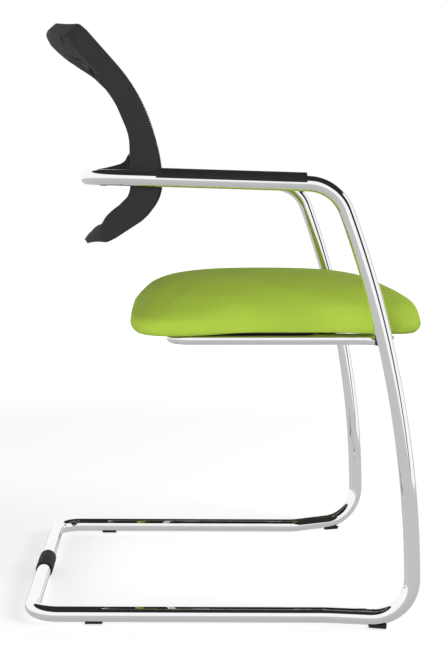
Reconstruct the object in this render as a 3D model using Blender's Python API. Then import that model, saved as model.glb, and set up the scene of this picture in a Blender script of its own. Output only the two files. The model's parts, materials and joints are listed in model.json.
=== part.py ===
# Cantilever conference chair: a loop of round steel tube, an upholstered seat and a mesh back.
# Metres, +Z up. The sitter faces -Y, so the sitter's left is +X.
# The origin is on the floor, in the middle of the chair's footprint.

import math

import bmesh
import bpy
from mathutils import Vector

# Fits
GAP = 0.0003  # between faces that touch
SIDES = 12  # flats round a tube or a screw
BEND_STEP = math.radians(15)  # turn of a tube from one ring to the next

# Main frame: one loop of tube in two halves, joined under the base sleeve and in the back bracket
TUBE_RADIUS = 0.011
TUBE_WALL = 0.0025
TOE_HALF_WIDTH = 0.2727  # drives the width of the whole chair
BASE_TUCK = 0.0327  # how far in from the toe the base is
BASE_REAR_Y = 0.2765
BASE_REAR_HEIGHT = 0.0138
BASE_CORNER_RADIUS = 0.040
KINK_Y = -0.1362  # where the runner starts to splay and rise
KINK_HEIGHT = 0.0118
KINK_RADIUS = 0.060
TOE_Y = -0.2508
TOE_HEIGHT = 0.0170
TOE_RADIUS = 0.058
LEG_RADIUS = 1.480  # the long sweep of the front leg
LEG_UPRIGHT_HEIGHT = 0.0668  # where that sweep stands upright
LEG_STEPS = 8
LEG_START = 1.03  # the sweep starts this far from each corner, as a share of the bend's reach
ARM_TUCK = 0.0047  # how far in from the toe the arm is
ARM_FRONT_HEIGHT = 0.6120
ARM_SLOPE = 0.0308
SHOULDER_RADIUS = 0.058
BACK_BAR_Y = 0.1975
BACK_BAR_CORNER_RADIUS = 0.065
SPIGOT_HALF_LENGTH = 0.032
SPIGOT_CHAMFER = 0.001

# Rubber sleeve on the base bar
SLEEVE_WALL = 0.0019
SLEEVE_HALF_LENGTH = 0.034
SLEEVE_CHAMFER = 0.0015

# Glides under the runners
GLIDE_LENGTH = 0.024
GLIDE_HALF_WIDTH = 0.0030
GLIDE_WRAP = math.radians(38)
GLIDE_REAR_Y = 0.1875
GLIDE_FRONT_Y = -0.2055
GLIDE_STEM_RADIUS = 0.003
GLIDE_STEM_LENGTH = 0.005  # above the outside of the tube
GLIDE_EDGE = 0.0015

# Seat support: a bent tube welded to both legs
SUPPORT_RADIUS = 0.008
SUPPORT_WALL = 0.002
SUPPORT_TUCK = 0.0577  # how far in from the toe its sides are
SUPPORT_REAR_Y = 0.0785
SUPPORT_HEIGHT = 0.3938
SUPPORT_CORNER_RADIUS = 0.028

# Lugs on the support, and what is bolted to them
LUG_WIDTH = 0.030
LUG_LENGTH = 0.028
LUG_THICKNESS = 0.003
LUG_FRONT_Y = -0.140
LUG_REAR_Y = 0.030
BOLT_INSET = 0.025  # from the side of the support
BOLT_RADIUS = 0.003
BOLT_LENGTH = 0.017
BOLT_HEAD_RADIUS = 0.0055
BOLT_HEAD_HEIGHT = 0.0033
T_NUT_FLANGE_RADIUS = 0.009
T_NUT_FLANGE_THICKNESS = 0.0012
T_NUT_BARREL_RADIUS = 0.0042
T_NUT_BARREL_LENGTH = 0.008

# Stacking buffers at the front ends of the support
BUFFER_WIDTH = 0.0145
BUFFER_FROM_LEG = 0.0007
BUFFER_REACH = 0.0130  # in front of the support tube's centre
BUFFER_BACK = 0.0110
BUFFER_TOP = 0.0100  # above the support tube's centre
BUFFER_LIP = 0.0025
BUFFER_DROP = 0.0040  # below the support tube's centre
BUFFER_EDGE = 0.0015
BUFFER_MOUTH = 0.99  # width of the opening underneath, as a share of the recess

# Seat pad, from below: under cover, turned-in fabric, board, foam, fabric
SEAT_TUCK = 0.0377  # how far in from the toe its sides are
SEAT_FRONT_Y = -0.2885
SEAT_REAR_Y = 0.1425
SEAT_SQUARENESS = 6.3  # of the outline; the pad is rounder towards its top, most of all behind
SEAT_REAR_SQUARENESS = 2.65
SEAT_CROWN_SQUARENESS = 2.6
SEAT_STATIONS = 32
SEAT_SPREAD = 0.55  # small gathers the stations at the corners
SEAT_CROWN = 0.4778
UNDER_COVER_THICKNESS = 0.003
UNDER_COVER_INSET = 0.0245
FABRIC_THICKNESS = 0.001
FABRIC_MARGIN = 0.038  # the turned-in edge ends this far from the outline
BOARD_THICKNESS = 0.011
BOARD_INSET = 0.024
FOAM_GAP = 0.0008  # under the fabric
FRONT_LIP = (0.20, 0.85)  # sines of the bearing between which the lip under the edge deepens
REAR_LIP = (0.10, 0.65)
SIDE_LIP = 0.05
SIDE_FULLNESS = 0.25  # how much less the underside is drawn in at the sides, clear of the support tube
SIDE_SINES = (0.5, 0.9)  # between which that fades out
REAR_SINES = (-0.5, 0.5)  # between which the outline goes over to the rear's squareness
REAR_HEIGHTS = (0.008, 0.042)
CROWN_INSETS = (0.030, 0.200)
# Inset from the outline and height over the turned-in fabric, for the front edge and for the rear
EDGE_FRONT = (
    (0.0170, 0.0000),
    (0.0120, -0.0060),
    (0.0070, -0.0040),
    (0.0025, 0.0025),
    (0.0000, 0.0101),
    (0.0007, 0.0185),
    (0.0032, 0.0262),
    (0.0083, 0.0353),
    (0.0159, 0.0420),
    (0.0302, 0.0493),
    (0.0578, 0.0574),
    (0.0985, 0.0650),
    (0.1490, 0.0700),
)
EDGE_REAR = (
    (0.0180, 0.0000),
    (0.0120, -0.0076),
    (0.0048, -0.0028),
    (0.0005, 0.0071),
    (0.0000, 0.0178),
    (0.0043, 0.0256),
    (0.0094, 0.0325),
    (0.0162, 0.0394),
    (0.0235, 0.0448),
    (0.0340, 0.0510),
    (0.0597, 0.0600),
    (0.0980, 0.0666),
    (0.1470, 0.0701),
)

# Arm pads
PAD_FRONT_Y = -0.1052
PAD_REAR_Y = 0.1003
PAD_THICKNESS = 0.0037
PAD_WRAP = math.radians(81)
PAD_PEG_RADIUS = 0.003
PAD_PEG_LENGTH = 0.0045
PAD_PEG_INSET = 0.045  # of the pegs from the pad's ends

# Back: a curved sheet of mesh round a moulded frame. Heights along the sheet start at its waist.
WAIST_FROM_BAR = 0.1040  # forward from the crossbar
WAIST_BELOW_BAR = 0.0068
UPPER_RADIUS = 0.250
UPPER_LEAN = math.radians(41.5)
LOWER_RADIUS = 0.070
LOWER_LEAN = math.radians(57)
BACK_TUCK = 0.053  # how far in from the arm its sides are
BACK_TOP = 0.3120
BACK_TOP_ARCH = 0.0547
BACK_BOTTOM = -0.1600
BACK_BOTTOM_ARCH = 0.0395
TOP_ARCH_ROUNDNESS = 0.25  # small keeps the ends of the arch straight
BOTTOM_ARCH_ROUNDNESS = 3.0
BACK_CORNER_RADIUS = 0.0145
HOLLOW = 0.049  # depth of the sheet between its side edges, at the waist
HOLLOW_LOST_ABOVE = 0.026
HOLLOW_LOST_BELOW = 0.034
HOLLOW_POWER_ABOVE = 0.66
HOLLOW_POWER_BELOW = 1.8
HOLLOW_WAIST = 0.020  # how gently it starts to get shallower above the waist
MESH_THICKNESS = 0.0016
MESH_SKIRT = 0.0050  # how far the mesh turns back round the frame
MESH_GAP = 0.0006
BACK_COLUMNS = 10
LOWER_ROWS = 6  # rows of the sheet round the bend below the waist
UPPER_ROWS = 8
END_ROWS = 3  # rows between the level ones and each arched end
LOW_ROW_INSET = 0.010  # of the first level row from the ends of the bottom edge
HIGH_ROW_INSET = 0.007
ROW_SPACING = 0.004  # least, between two rows
RETAINER_WIDTH = 0.0030
RETAINER_DEPTH = 0.0025
RAIL_WIDTH = 0.0135
RAIL_DEPTH = 0.009
BOTTOM_RAIL_WIDTH = 0.016
BOTTOM_RAIL_DEPTH = 0.0045
GRIP_WIDTH = 0.0765  # the thick grip along the top rail
GRIP_DEPTH = 0.0246
GRIP_FULL_INSET = 0.130  # from the sides of the back
GRIP_END_INSET = 0.020
BOTTOM_FULL_INSET = 0.065  # of the full bottom rail from the sides of the back
WALL_SHARE = 0.85  # depth of the side walls, as a share of the sheet's hollow there
WALL_SHARE_RISE = 0.10  # how much greater that share is over the upper part
WALL_RISE = (0.06, 0.16)  # between which it rises, along the sheet
WALL_FALL = (0.20, 0.27)
WALL_SECTION = ((0.0044, 0.0), (0.0036, 1.0), (0.0014, 1.0), (0.0006, 0.965))  # inset, share of the depth
# Sections of the frame, as shares of its width and depth
RAIL_SECTION = ((1.0, 0.0), (1.0, 0.45), (0.92, 0.85), (0.78, 1.0), (0.40, 1.0))
GRIP_SECTION = ((1.0, 0.0), (0.967, 0.07), (0.784, 0.50), (0.60, 0.81), (0.26, 1.0))
RAIL_LIP = ((0.0, 0.92), (0.0, 0.85))  # inset from the lip, depth
GRIP_LIP = ((0.063, 0.86), (0.0, 0.57))

# Back bracket: a rail behind the waist, with a saddle over the crossbar
BRACKET_LOW = -0.004
BRACKET_HIGH = 0.034
BRACKET_THICKNESS = 0.006
BRACKET_GAP = 0.0008
BRACKET_EDGE = 0.0015
BRACKET_END_INSET = 0.0050
BRACKET_BEHIND_INSET = 0.0216  # from here out the bracket lies behind the side rails
SADDLE_HALF_WIDTH = 0.065
SADDLE_HIGH = 0.056  # top of the saddle, along the sheet from the waist
SADDLE_TOP = (  # (Y, height above the crossbar's centre) of the fillet from the back to the crossbar
    (0.1466, 0.0320),
    (0.1495, 0.0257),
    (0.1560, 0.0213),
    (0.1675, 0.0180),
    (0.1802, 0.0150),
    (0.1925, 0.0130),
)
CRADLE_START = math.radians(97)
CRADLE_END = math.radians(232)
CRADLE_LIP = 0.0045
BACK_SCREW_X = 0.050
BACK_SCREW_LENGTH = 0.038
INSERT_RADIUS = 0.004
INSERT_LENGTH = 0.012
INSERT_SETBACK = 0.0012
RAIL_SCREW_RADIUS = 0.002
RAIL_SCREW_INSET = 0.0085
RAIL_SCREW_SINK = 0.002
RAIL_SCREW_LENGTH = 0.010
RAIL_SCREW_HEAD_RADIUS = 0.0036
RAIL_SCREW_HEAD_HEIGHT = 0.0022
RAIL_SCREW_HEIGHTS = (0.004, 0.026)

# Places that follow from the sizes above
BORE_RADIUS = TUBE_RADIUS - TUBE_WALL
BASE_HALF_WIDTH = TOE_HALF_WIDTH - BASE_TUCK
ARM_HALF_WIDTH = TOE_HALF_WIDTH - ARM_TUCK
SUPPORT_HALF_WIDTH = TOE_HALF_WIDTH - SUPPORT_TUCK
BOLT_X = SUPPORT_HALF_WIDTH - BOLT_INSET
SEAT_HALF_WIDTH = TOE_HALF_WIDTH - SEAT_TUCK
BACK_HALF_WIDTH = ARM_HALF_WIDTH - BACK_TUCK
GRIP_FULL_X = BACK_HALF_WIDTH - GRIP_FULL_INSET
GRIP_END_X = BACK_HALF_WIDTH - GRIP_END_INSET
BOTTOM_FULL_X = BACK_HALF_WIDTH - BOTTOM_FULL_INSET
BRACKET_END_X = BACK_HALF_WIDTH - BRACKET_END_INSET
BRACKET_BEHIND_X = BACK_HALF_WIDTH - BRACKET_BEHIND_INSET
RAIL_SCREW_X = BACK_HALF_WIDTH - RAIL_SCREW_INSET
SUPPORT_TOP = SUPPORT_HEIGHT + SUPPORT_RADIUS
UNDER_COVER_BOTTOM = SUPPORT_TOP + GAP
UNDER_COVER_TOP = UNDER_COVER_BOTTOM + UNDER_COVER_THICKNESS
FABRIC_BOTTOM = UNDER_COVER_TOP + GAP
BOARD_BOTTOM = FABRIC_BOTTOM + FABRIC_THICKNESS + GAP
BOARD_TOP = BOARD_BOTTOM + BOARD_THICKNESS
SEAT_MIDDLE_Y = (SEAT_FRONT_Y + SEAT_REAR_Y) / 2
SEAT_HALF_LENGTH = (SEAT_REAR_Y - SEAT_FRONT_Y) / 2

MATERIALS = {
    "chrome": ((0.62, 0.62, 0.63), 0.08, 1.0),
    "rubber": ((0.06, 0.06, 0.06), 0.70, 0.0),
    "black_plastic": ((0.03, 0.03, 0.03), 0.50, 0.0),
    "grey_black_plastic": ((0.05, 0.05, 0.05), 0.45, 0.0),
    "mesh": ((0.035, 0.035, 0.035), 0.80, 0.0),
    "fabric": ((0.37, 0.58, 0.07), 0.90, 0.0),
    "foam": ((0.80, 0.75, 0.55), 0.95, 0.0),
    "plywood": ((0.62, 0.45, 0.26), 0.60, 0.0),
    "zinc": ((0.55, 0.55, 0.52), 0.35, 1.0),
    "brass": ((0.70, 0.53, 0.24), 0.30, 1.0),
    "steel": ((0.45, 0.45, 0.45), 0.30, 1.0),
}


# Shapes


def material(name):
    found = bpy.data.materials.get(name)
    if found:
        return found
    made = bpy.data.materials.new(name)
    made.use_nodes = True
    shader = made.node_tree.nodes["Principled BSDF"]
    colour, roughness, metallic = MATERIALS[name]
    shader.inputs["Base Color"].default_value = (*colour, 1)
    shader.inputs["Roughness"].default_value = roughness
    shader.inputs["Metallic"].default_value = metallic
    return made


def loft(bm, rings, loop=False, start=None, end=None):
    """Joins rings of points into a closed skin: end to end, or with flat or pointed ends."""
    made = [[bm.verts.new(point) for point in ring] for ring in rings]
    count = len(made[0])
    pairs = list(zip(made, made[1:]))
    if loop:
        pairs.append((made[-1], made[0]))
    for low, high in pairs:
        for i in range(count):
            j = (i + 1) % count
            bm.faces.new((low[i], low[j], high[j], high[i]))
    if loop:
        return
    for ring, point in ((made[0], start), (made[-1], end)):
        if point is None:
            bm.faces.new(ring)
            continue
        tip = bm.verts.new(point)
        for i in range(count):
            bm.faces.new((ring[i], ring[(i + 1) % count], tip))


def mesh_of(name, bm):
    bmesh.ops.recalc_face_normals(bm, faces=bm.faces)
    mesh = bpy.data.meshes.new(name)
    bm.to_mesh(mesh)
    bm.free()
    mesh.shade_smooth()
    mesh.set_sharp_from_angle(angle=math.radians(32))
    return mesh


def add(name, mesh, material_name, matrix=None):
    obj = bpy.data.objects.new(name, mesh)
    if not mesh.materials:
        mesh.materials.append(material(material_name))
    bpy.context.scene.collection.objects.link(obj)
    obj.parent = bpy.data.objects["chair"]
    if matrix:
        obj.matrix_world = matrix
    return obj


def solid(name, material_name, rings, **ends):
    bm = bmesh.new()
    loft(bm, rings, **ends)
    return add(name, mesh_of(name, bm), material_name)


def combine(target, name, bodies, operation):
    """Adds or takes away closed bodies, each given by its rings."""
    bm = bmesh.new()
    for rings in bodies:
        loft(bm, rings)
    helper = bpy.data.objects.new(name, mesh_of(name, bm))
    bpy.context.scene.collection.objects.link(helper)
    helper.hide_render = True
    helper.display_type = "WIRE"
    modifier = target.modifiers.new(name, "BOOLEAN")
    modifier.object = helper
    modifier.operation = operation
    modifier.solver = "EXACT"


def cut(target, name, bodies):
    combine(target, name, bodies, "DIFFERENCE")


def join(target, name, bodies):
    combine(target, name, bodies, "UNION")


def circle(centre, axis, radius, sides=SIDES, start=0.0):
    """Points round an axis, the first of them turned by start from a level or forward direction."""
    axis = Vector(axis).normalized()
    across = Vector((0, 0, 1)) if abs(axis.z) < 0.9 else Vector((0, 1, 0))
    across = (across - axis * across.dot(axis)).normalized()
    other = axis.cross(across)
    angles = [start + 2 * math.pi * i / sides for i in range(sides)]
    return [Vector(centre) + (across * math.cos(a) + other * math.sin(a)) * radius for a in angles]


def turned(origin, axis, profile, sides=SIDES):
    """Rings for a turned shape: a profile of (radius, distance along the axis)."""
    origin, axis = Vector(origin), Vector(axis).normalized()
    return [circle(origin + axis * along, axis, radius, sides) for radius, along in profile]


def clear_radius(radius, sides=SIDES):
    """Corner radius of a flat-sided hole that clears a round piece of this radius."""
    return (radius + GAP) / math.cos(math.pi / sides)


def hole(origin, axis, radius, length, sides=SIDES):
    """A cutter for a piece of this radius."""
    size = clear_radius(radius, sides)
    return turned(origin, axis, [(size, 0), (size, length)], sides)


def bend(before, corner, after, radius):
    """Points of an arc that rounds a corner of a path."""
    into, out = (corner - before).normalized(), (after - corner).normalized()
    turn = into.angle(out)
    reach = radius * math.tan(turn / 2)
    centre = corner + (out - into).normalized() * (radius / math.cos(turn / 2))
    first = corner - into * reach - centre
    axis = into.cross(out).normalized()
    side = axis.cross(first)
    steps = max(2, math.ceil(turn / BEND_STEP))
    angles = [turn * i / steps for i in range(steps + 1)]
    return [centre + first * math.cos(a) + side * math.sin(a) for a in angles]


def bend_reach(before, corner, after, radius):
    turn = (corner - before).angle(after - corner)
    return radius * math.tan(turn / 2)


def rounded(corners):
    """A path through (point, radius) corners, with an arc at each corner that has a radius."""
    points = [corners[0][0]]
    for (before, _), (corner, radius), (after, _) in zip(corners, corners[1:], corners[2:]):
        points += bend(before, corner, after, radius) if radius else [corner]
    points.append(corners[-1][0])
    return points


def directions(points):
    steps = [(b - a).normalized() for a, b in zip(points, points[1:])]
    middle = [(a + b).normalized() for a, b in zip(steps, steps[1:])]
    return [steps[0], *middle, steps[-1]]


def tube_rings(points, radius, sides=SIDES):
    """Rings along a path, carried from one to the next without twist."""
    ways = directions(points)
    across = Vector((0, 0, 1)).cross(ways[0]).normalized()
    rings = []
    for point, way in zip(points, ways):
        across = (across - way * across.dot(way)).normalized()
        other = way.cross(across)
        angles = [2 * math.pi * i / sides for i in range(sides)]
        rings.append([point + (across * math.cos(a) + other * math.sin(a)) * radius for a in angles])
    return rings


def tube(name, material_name, points, radius, wall, sides=SIDES):
    outer = tube_rings(points, radius, sides)
    inner = tube_rings(points, radius - wall, sides)
    return solid(name, material_name, outer + inner[::-1], loop=True)


def mirrored(point, side):
    return Vector((point[0] * side, point[1], point[2]))


def ease(value, low, high):
    """0 up to low, 1 from high, and a smooth step between."""
    t = min(max((value - low) / (high - low), 0.0), 1.0)
    return t * t * (3 - 2 * t)


# Main frame


def leg_point(height):
    """Centre line of the left leg: a long arc that leans back, and in a little, as it rises."""
    angle = math.asin((height - LEG_UPRIGHT_HEIGHT) / LEG_RADIUS)
    share = (height - TOE_HEIGHT) / (ARM_FRONT_HEIGHT - TOE_HEIGHT)
    x = TOE_HALF_WIDTH + (ARM_HALF_WIDTH - TOE_HALF_WIDTH) * share
    return Vector((x, TOE_Y + LEG_RADIUS * (1 - math.cos(angle)), height))


def runner_point(y):
    """Centre line of the left runner, straight from the rear corner to the kink and on to the toe."""
    rear = Vector((BASE_HALF_WIDTH, BASE_REAR_Y, BASE_REAR_HEIGHT))
    kink = Vector((BASE_HALF_WIDTH, KINK_Y, KINK_HEIGHT))
    toe = Vector((TOE_HALF_WIDTH, TOE_Y, TOE_HEIGHT))
    near, far = (rear, kink) if y > KINK_Y else (kink, toe)
    return near.lerp(far, (y - near.y) / (far.y - near.y))


def arm_point(y):
    """Centre line of the left arm and of the crossbar behind the back."""
    front = leg_point(ARM_FRONT_HEIGHT)
    return Vector((ARM_HALF_WIDTH, y, ARM_FRONT_HEIGHT + ARM_SLOPE * (y - front.y)))


def back_bar_centre():
    return Vector((0, BACK_BAR_Y, arm_point(BACK_BAR_Y).z))


def frame_path():
    """The left half of the loop, from the joint in the base bar round to the joint behind the back."""
    kink = runner_point(KINK_Y)
    toe = Vector((TOE_HALF_WIDTH, TOE_Y, TOE_HEIGHT))
    shoulder = leg_point(ARM_FRONT_HEIGHT)
    rear = arm_point(BACK_BAR_Y)
    toe_reach = bend_reach(kink, toe, toe + Vector((0, 0, 1)), TOE_RADIUS)
    lean = shoulder - leg_point(ARM_FRONT_HEIGHT - SHOULDER_RADIUS)
    shoulder_reach = bend_reach(shoulder - lean, shoulder, rear, SHOULDER_RADIUS)
    low = TOE_HEIGHT + toe_reach * LEG_START
    high = ARM_FRONT_HEIGHT - shoulder_reach * LEG_START
    leg = [leg_point(low + (high - low) * i / LEG_STEPS) for i in range(LEG_STEPS + 1)]
    joint = GAP / 2
    return rounded(
        [(Vector((joint, BASE_REAR_Y, BASE_REAR_HEIGHT)), 0)]
        + [(Vector((BASE_HALF_WIDTH, BASE_REAR_Y, BASE_REAR_HEIGHT)), BASE_CORNER_RADIUS)]
        + [(kink, KINK_RADIUS), (toe, TOE_RADIUS)]
        + [(point, 0) for point in leg]
        + [(shoulder, SHOULDER_RADIUS), (rear, BACK_BAR_CORNER_RADIUS)]
        + [(Vector((joint, rear.y, rear.z)), 0)]
    )


def arm_up():
    return Vector((0, -ARM_SLOPE, 1)).normalized()


def peg_places():
    """Where the two pegs of an arm pad enter the arm."""
    return [arm_point(y) for y in (PAD_FRONT_Y + PAD_PEG_INSET, PAD_REAR_Y - PAD_PEG_INSET)]


def glide_places():
    return {"rear": runner_point(GLIDE_REAR_Y), "front": runner_point(GLIDE_FRONT_Y)}


def main_frame():
    up = Vector((0, 0, 1))
    for name, side in (("left", 1), ("right", -1)):
        path = [mirrored(point, side) for point in frame_path()]
        half = tube(f"frame_tube_{name}", "chrome", path, TUBE_RADIUS, TUBE_WALL)
        holes = [hole(mirrored(p, side), arm_up(), PAD_PEG_RADIUS, 2 * TUBE_RADIUS) for p in peg_places()]
        for place in glide_places().values():
            foot = mirrored(place, side)
            holes.append(hole(foot, -up, GLIDE_STEM_RADIUS, 2 * TUBE_RADIUS))
        bar = back_bar_centre()
        through = Vector((BACK_SCREW_X * side, bar.y + 2 * TUBE_RADIUS, bar.z))
        holes.append(hole(through, (0, -1, 0), BOLT_RADIUS, 4 * TUBE_RADIUS))
        cut(half, f"holes_{name}", holes)


def spigots():
    """Short bars inside the tube that line up the two halves at each joint."""
    radius = BORE_RADIUS * math.cos(math.pi / SIDES) - GAP
    base = Vector((0, BASE_REAR_Y, BASE_REAR_HEIGHT))
    for name, centre in (("base_spigot", base), ("back_spigot", back_bar_centre())):
        profile = [
            (radius - SPIGOT_CHAMFER, -SPIGOT_HALF_LENGTH),
            (radius, -SPIGOT_HALF_LENGTH + SPIGOT_CHAMFER),
            (radius, SPIGOT_HALF_LENGTH - SPIGOT_CHAMFER),
            (radius - SPIGOT_CHAMFER, SPIGOT_HALF_LENGTH),
        ]
        solid(name, "steel", turned(centre, (1, 0, 0), profile))


def base_sleeve():
    sides = 2 * SIDES
    inner = clear_radius(TUBE_RADIUS, sides)
    outer = inner + SLEEVE_WALL
    end = SLEEVE_HALF_LENGTH
    profile = [
        (inner, -end),
        (outer - SLEEVE_CHAMFER, -end),
        (outer, -end + SLEEVE_CHAMFER),
        (outer, end - SLEEVE_CHAMFER),
        (outer - SLEEVE_CHAMFER, end),
        (inner, end),
    ]
    centre = (0, BASE_REAR_Y, BASE_REAR_HEIGHT)
    solid("base_sleeve", "rubber", turned(centre, (1, 0, 0), profile, sides), loop=True)


def glide_section(centre, across):
    """A flat sole below and a saddle round the underside of the tube above."""
    steps = 6
    radius = clear_radius(TUBE_RADIUS, round(math.pi / GLIDE_WRAP * steps))
    angles = [-GLIDE_WRAP + 2 * GLIDE_WRAP * i / steps for i in range(steps + 1)]
    saddle = [centre + across * radius * math.sin(a) - Vector((0, 0, radius * math.cos(a))) for a in angles]
    sole = Vector((centre.x, centre.y, 0))
    toe = across * GLIDE_HALF_WIDTH
    edge = Vector((0, 0, GLIDE_EDGE))
    flare = across * GLIDE_EDGE
    return saddle + [sole + toe + flare + edge, sole + toe, sole - toe, sole - toe - flare + edge]


def glides():
    up = Vector((0, 0, 1))
    for side_name, side in (("left", 1), ("right", -1)):
        for end_name, place in glide_places().items():
            centre = mirrored(place, side)
            ahead = mirrored(runner_point(place.y - GLIDE_EDGE), side) - centre
            way = ahead.normalized()
            across = way.cross(up).normalized()
            ends = [centre - way * GLIDE_LENGTH / 2, centre + way * GLIDE_LENGTH / 2]
            name = f"glide_{end_name}_{side_name}"
            glide = solid(name, "black_plastic", [glide_section(end, across) for end in ends])
            root = centre - up * (TUBE_RADIUS + GLIDE_EDGE)
            length = GLIDE_STEM_LENGTH + GLIDE_EDGE
            stem = turned(root, up, [(GLIDE_STEM_RADIUS, 0), (GLIDE_STEM_RADIUS, length)])
            join(glide, f"stem_{end_name}_{side_name}", [stem])


# Seat support


def support_path():
    """From the left leg, back along the left side, across behind, and forward to the right leg."""
    leg = leg_point(SUPPORT_HEIGHT)
    half = [
        (leg, 0),
        (Vector((SUPPORT_HALF_WIDTH, leg.y, SUPPORT_HEIGHT)), SUPPORT_CORNER_RADIUS),
        (Vector((SUPPORT_HALF_WIDTH, SUPPORT_REAR_Y, SUPPORT_HEIGHT)), SUPPORT_CORNER_RADIUS),
    ]
    return rounded(half + [(mirrored(point, -1), radius) for point, radius in half[::-1]])


def seat_support():
    support = tube("seat_support_tube", "chrome", support_path(), SUPPORT_RADIUS, SUPPORT_WALL)
    reach = 2 * SUPPORT_RADIUS
    sides = 2 * SIDES
    coping = []
    for side in (1, -1):
        low = mirrored(leg_point(SUPPORT_HEIGHT - reach), side)
        high = mirrored(leg_point(SUPPORT_HEIGHT + reach), side)
        coping.append(hole(low, high - low, TUBE_RADIUS, (high - low).length, sides))
    cut(support, "coping", coping)


def bolt_places():
    rows = {"front": LUG_FRONT_Y, "rear": LUG_REAR_Y}
    sides = {"left": 1, "right": -1}
    return {f"{row}_{name}": (side * BOLT_X, y) for row, y in rows.items() for name, side in sides.items()}


def box(low, high):
    """A box as two rings, which may be cut or joined."""
    corners = [(low[0], low[1]), (high[0], low[1]), (high[0], high[1]), (low[0], high[1])]
    return [[Vector((x, y, z)) for x, y in corners] for z in (low[2], high[2])]


def lugs():
    """Plates welded to the inside of the support tube, under the bolts."""
    foot = SUPPORT_RADIUS - LUG_THICKNESS
    outer = SUPPORT_HALF_WIDTH - math.sqrt(SUPPORT_RADIUS**2 - foot**2) - GAP
    for name, (x, y) in bolt_places().items():
        side = math.copysign(1, x)
        ends = sorted((side * outer, side * (outer - LUG_WIDTH)))
        low = (ends[0], y - LUG_LENGTH / 2, SUPPORT_TOP - LUG_THICKNESS)
        high = (ends[1], y + LUG_LENGTH / 2, SUPPORT_TOP)
        lug = solid(f"seat_lug_{name}", "chrome", box(low, high))
        start = (x, y, SUPPORT_TOP - 2 * LUG_THICKNESS)
        cut(lug, f"lug_hole_{name}", [hole(start, (0, 0, 1), BOLT_RADIUS, 3 * LUG_THICKNESS)])


def screw_profile(radius, length, head_radius, head_height):
    """From the point of the shank to the socket in the head. The seat of the head is at 0."""
    socket = head_radius * 0.36
    return [
        (radius * 0.7, length),
        (radius, length - radius * 0.4),
        (radius, 0),
        (head_radius, 0),
        (head_radius * 0.96, -head_height * 0.45),
        (head_radius * 0.62, -head_height),
        (socket, -head_height),
        (socket, -head_height * 0.45),
    ]


def placed(origin, way):
    """A matrix that puts a mesh's +Z along way, from origin."""
    matrix = Vector(way).to_track_quat("Z", "Y").to_matrix().to_4x4()
    matrix.translation = Vector(origin)
    return matrix


def turned_mesh(name, profile, sides=SIDES, bored=False):
    bm = bmesh.new()
    loft(bm, turned((0, 0, 0), (0, 0, 1), profile, sides), loop=bored)
    return mesh_of(name, bm)


def fasteners():
    """Bolts up through the lugs into T-nuts that sit in the top of the board."""
    head = screw_profile(BOLT_RADIUS, BOLT_LENGTH, BOLT_HEAD_RADIUS, BOLT_HEAD_HEIGHT)
    bolt = turned_mesh("seat_bolt", head)
    bore = clear_radius(BOLT_RADIUS)
    nut = turned_mesh(
        "seat_t_nut",
        [
            (bore, -T_NUT_BARREL_LENGTH),
            (T_NUT_BARREL_RADIUS, -T_NUT_BARREL_LENGTH),
            (T_NUT_BARREL_RADIUS, 0),
            (T_NUT_FLANGE_RADIUS, 0),
            (T_NUT_FLANGE_RADIUS, T_NUT_FLANGE_THICKNESS),
            (bore, T_NUT_FLANGE_THICKNESS),
        ],
        bored=True,
    )
    up = Vector((0, 0, 1))
    seat = SUPPORT_TOP - LUG_THICKNESS - GAP
    for name, (x, y) in bolt_places().items():
        add(f"seat_bolt_{name}", bolt, "zinc", placed((x, y, seat), up))
        flange = BOARD_TOP - T_NUT_FLANGE_THICKNESS
        add(f"seat_t_nut_{name}", nut, "zinc", placed((x, y, flange), up))


def stacking_buffers():
    """Blocks that snap over the outer ends of the support tube, in front of and above it."""
    leg = leg_point(SUPPORT_HEIGHT)
    radius = clear_radius(SUPPORT_RADIUS, 2 * SIDES)
    for name, side in (("left", 1), ("right", -1)):
        outer = leg.x - TUBE_RADIUS - BUFFER_FROM_LEG
        ends = [side * (outer - BUFFER_WIDTH), side * outer]
        front, back = leg.y - BUFFER_REACH, leg.y + BUFFER_BACK
        top, low = SUPPORT_HEIGHT + BUFFER_TOP, SUPPORT_HEIGHT - BUFFER_DROP
        outline = [
            (back, low),
            (back, top - BUFFER_EDGE),
            (back - BUFFER_EDGE, top),
            (front + BUFFER_EDGE, top),
            (front, top - BUFFER_EDGE),
            (front, top - BUFFER_LIP),
            (front + BUFFER_LIP, low),
        ]
        rings = [[Vector((x, y, z)) for y, z in outline] for x in ends]
        block = solid(f"stacking_buffer_{name}", "black_plastic", rings)
        start = (-BUFFER_WIDTH + min(ends), leg.y, SUPPORT_HEIGHT)
        recess = turned(start, (1, 0, 0), [(radius, 0), (radius, 3 * BUFFER_WIDTH)], 2 * SIDES)
        slot = box(
            (start[0], leg.y - radius * BUFFER_MOUTH, SUPPORT_HEIGHT - 3 * BUFFER_DROP),
            (start[0] + 3 * BUFFER_WIDTH, leg.y + radius * BUFFER_MOUTH, SUPPORT_HEIGHT),
        )
        cut(block, f"buffer_recess_{name}", [recess])
        cut(block, f"buffer_mouth_{name}", [slot])


# Seat pad


def seat_bearings():
    """Directions from the middle of the pad, closest together at its corners."""
    bearings = []
    for i in range(SEAT_STATIONS):
        turn = 2 * math.pi * (i + 0.5) / SEAT_STATIONS
        x = math.copysign(abs(math.cos(turn)) ** SEAT_SPREAD, math.cos(turn)) * SEAT_HALF_WIDTH
        y = math.copysign(abs(math.sin(turn)) ** SEAT_SPREAD, math.sin(turn)) * SEAT_HALF_LENGTH
        bearings.append(math.atan2(y, x))
    return bearings


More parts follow.
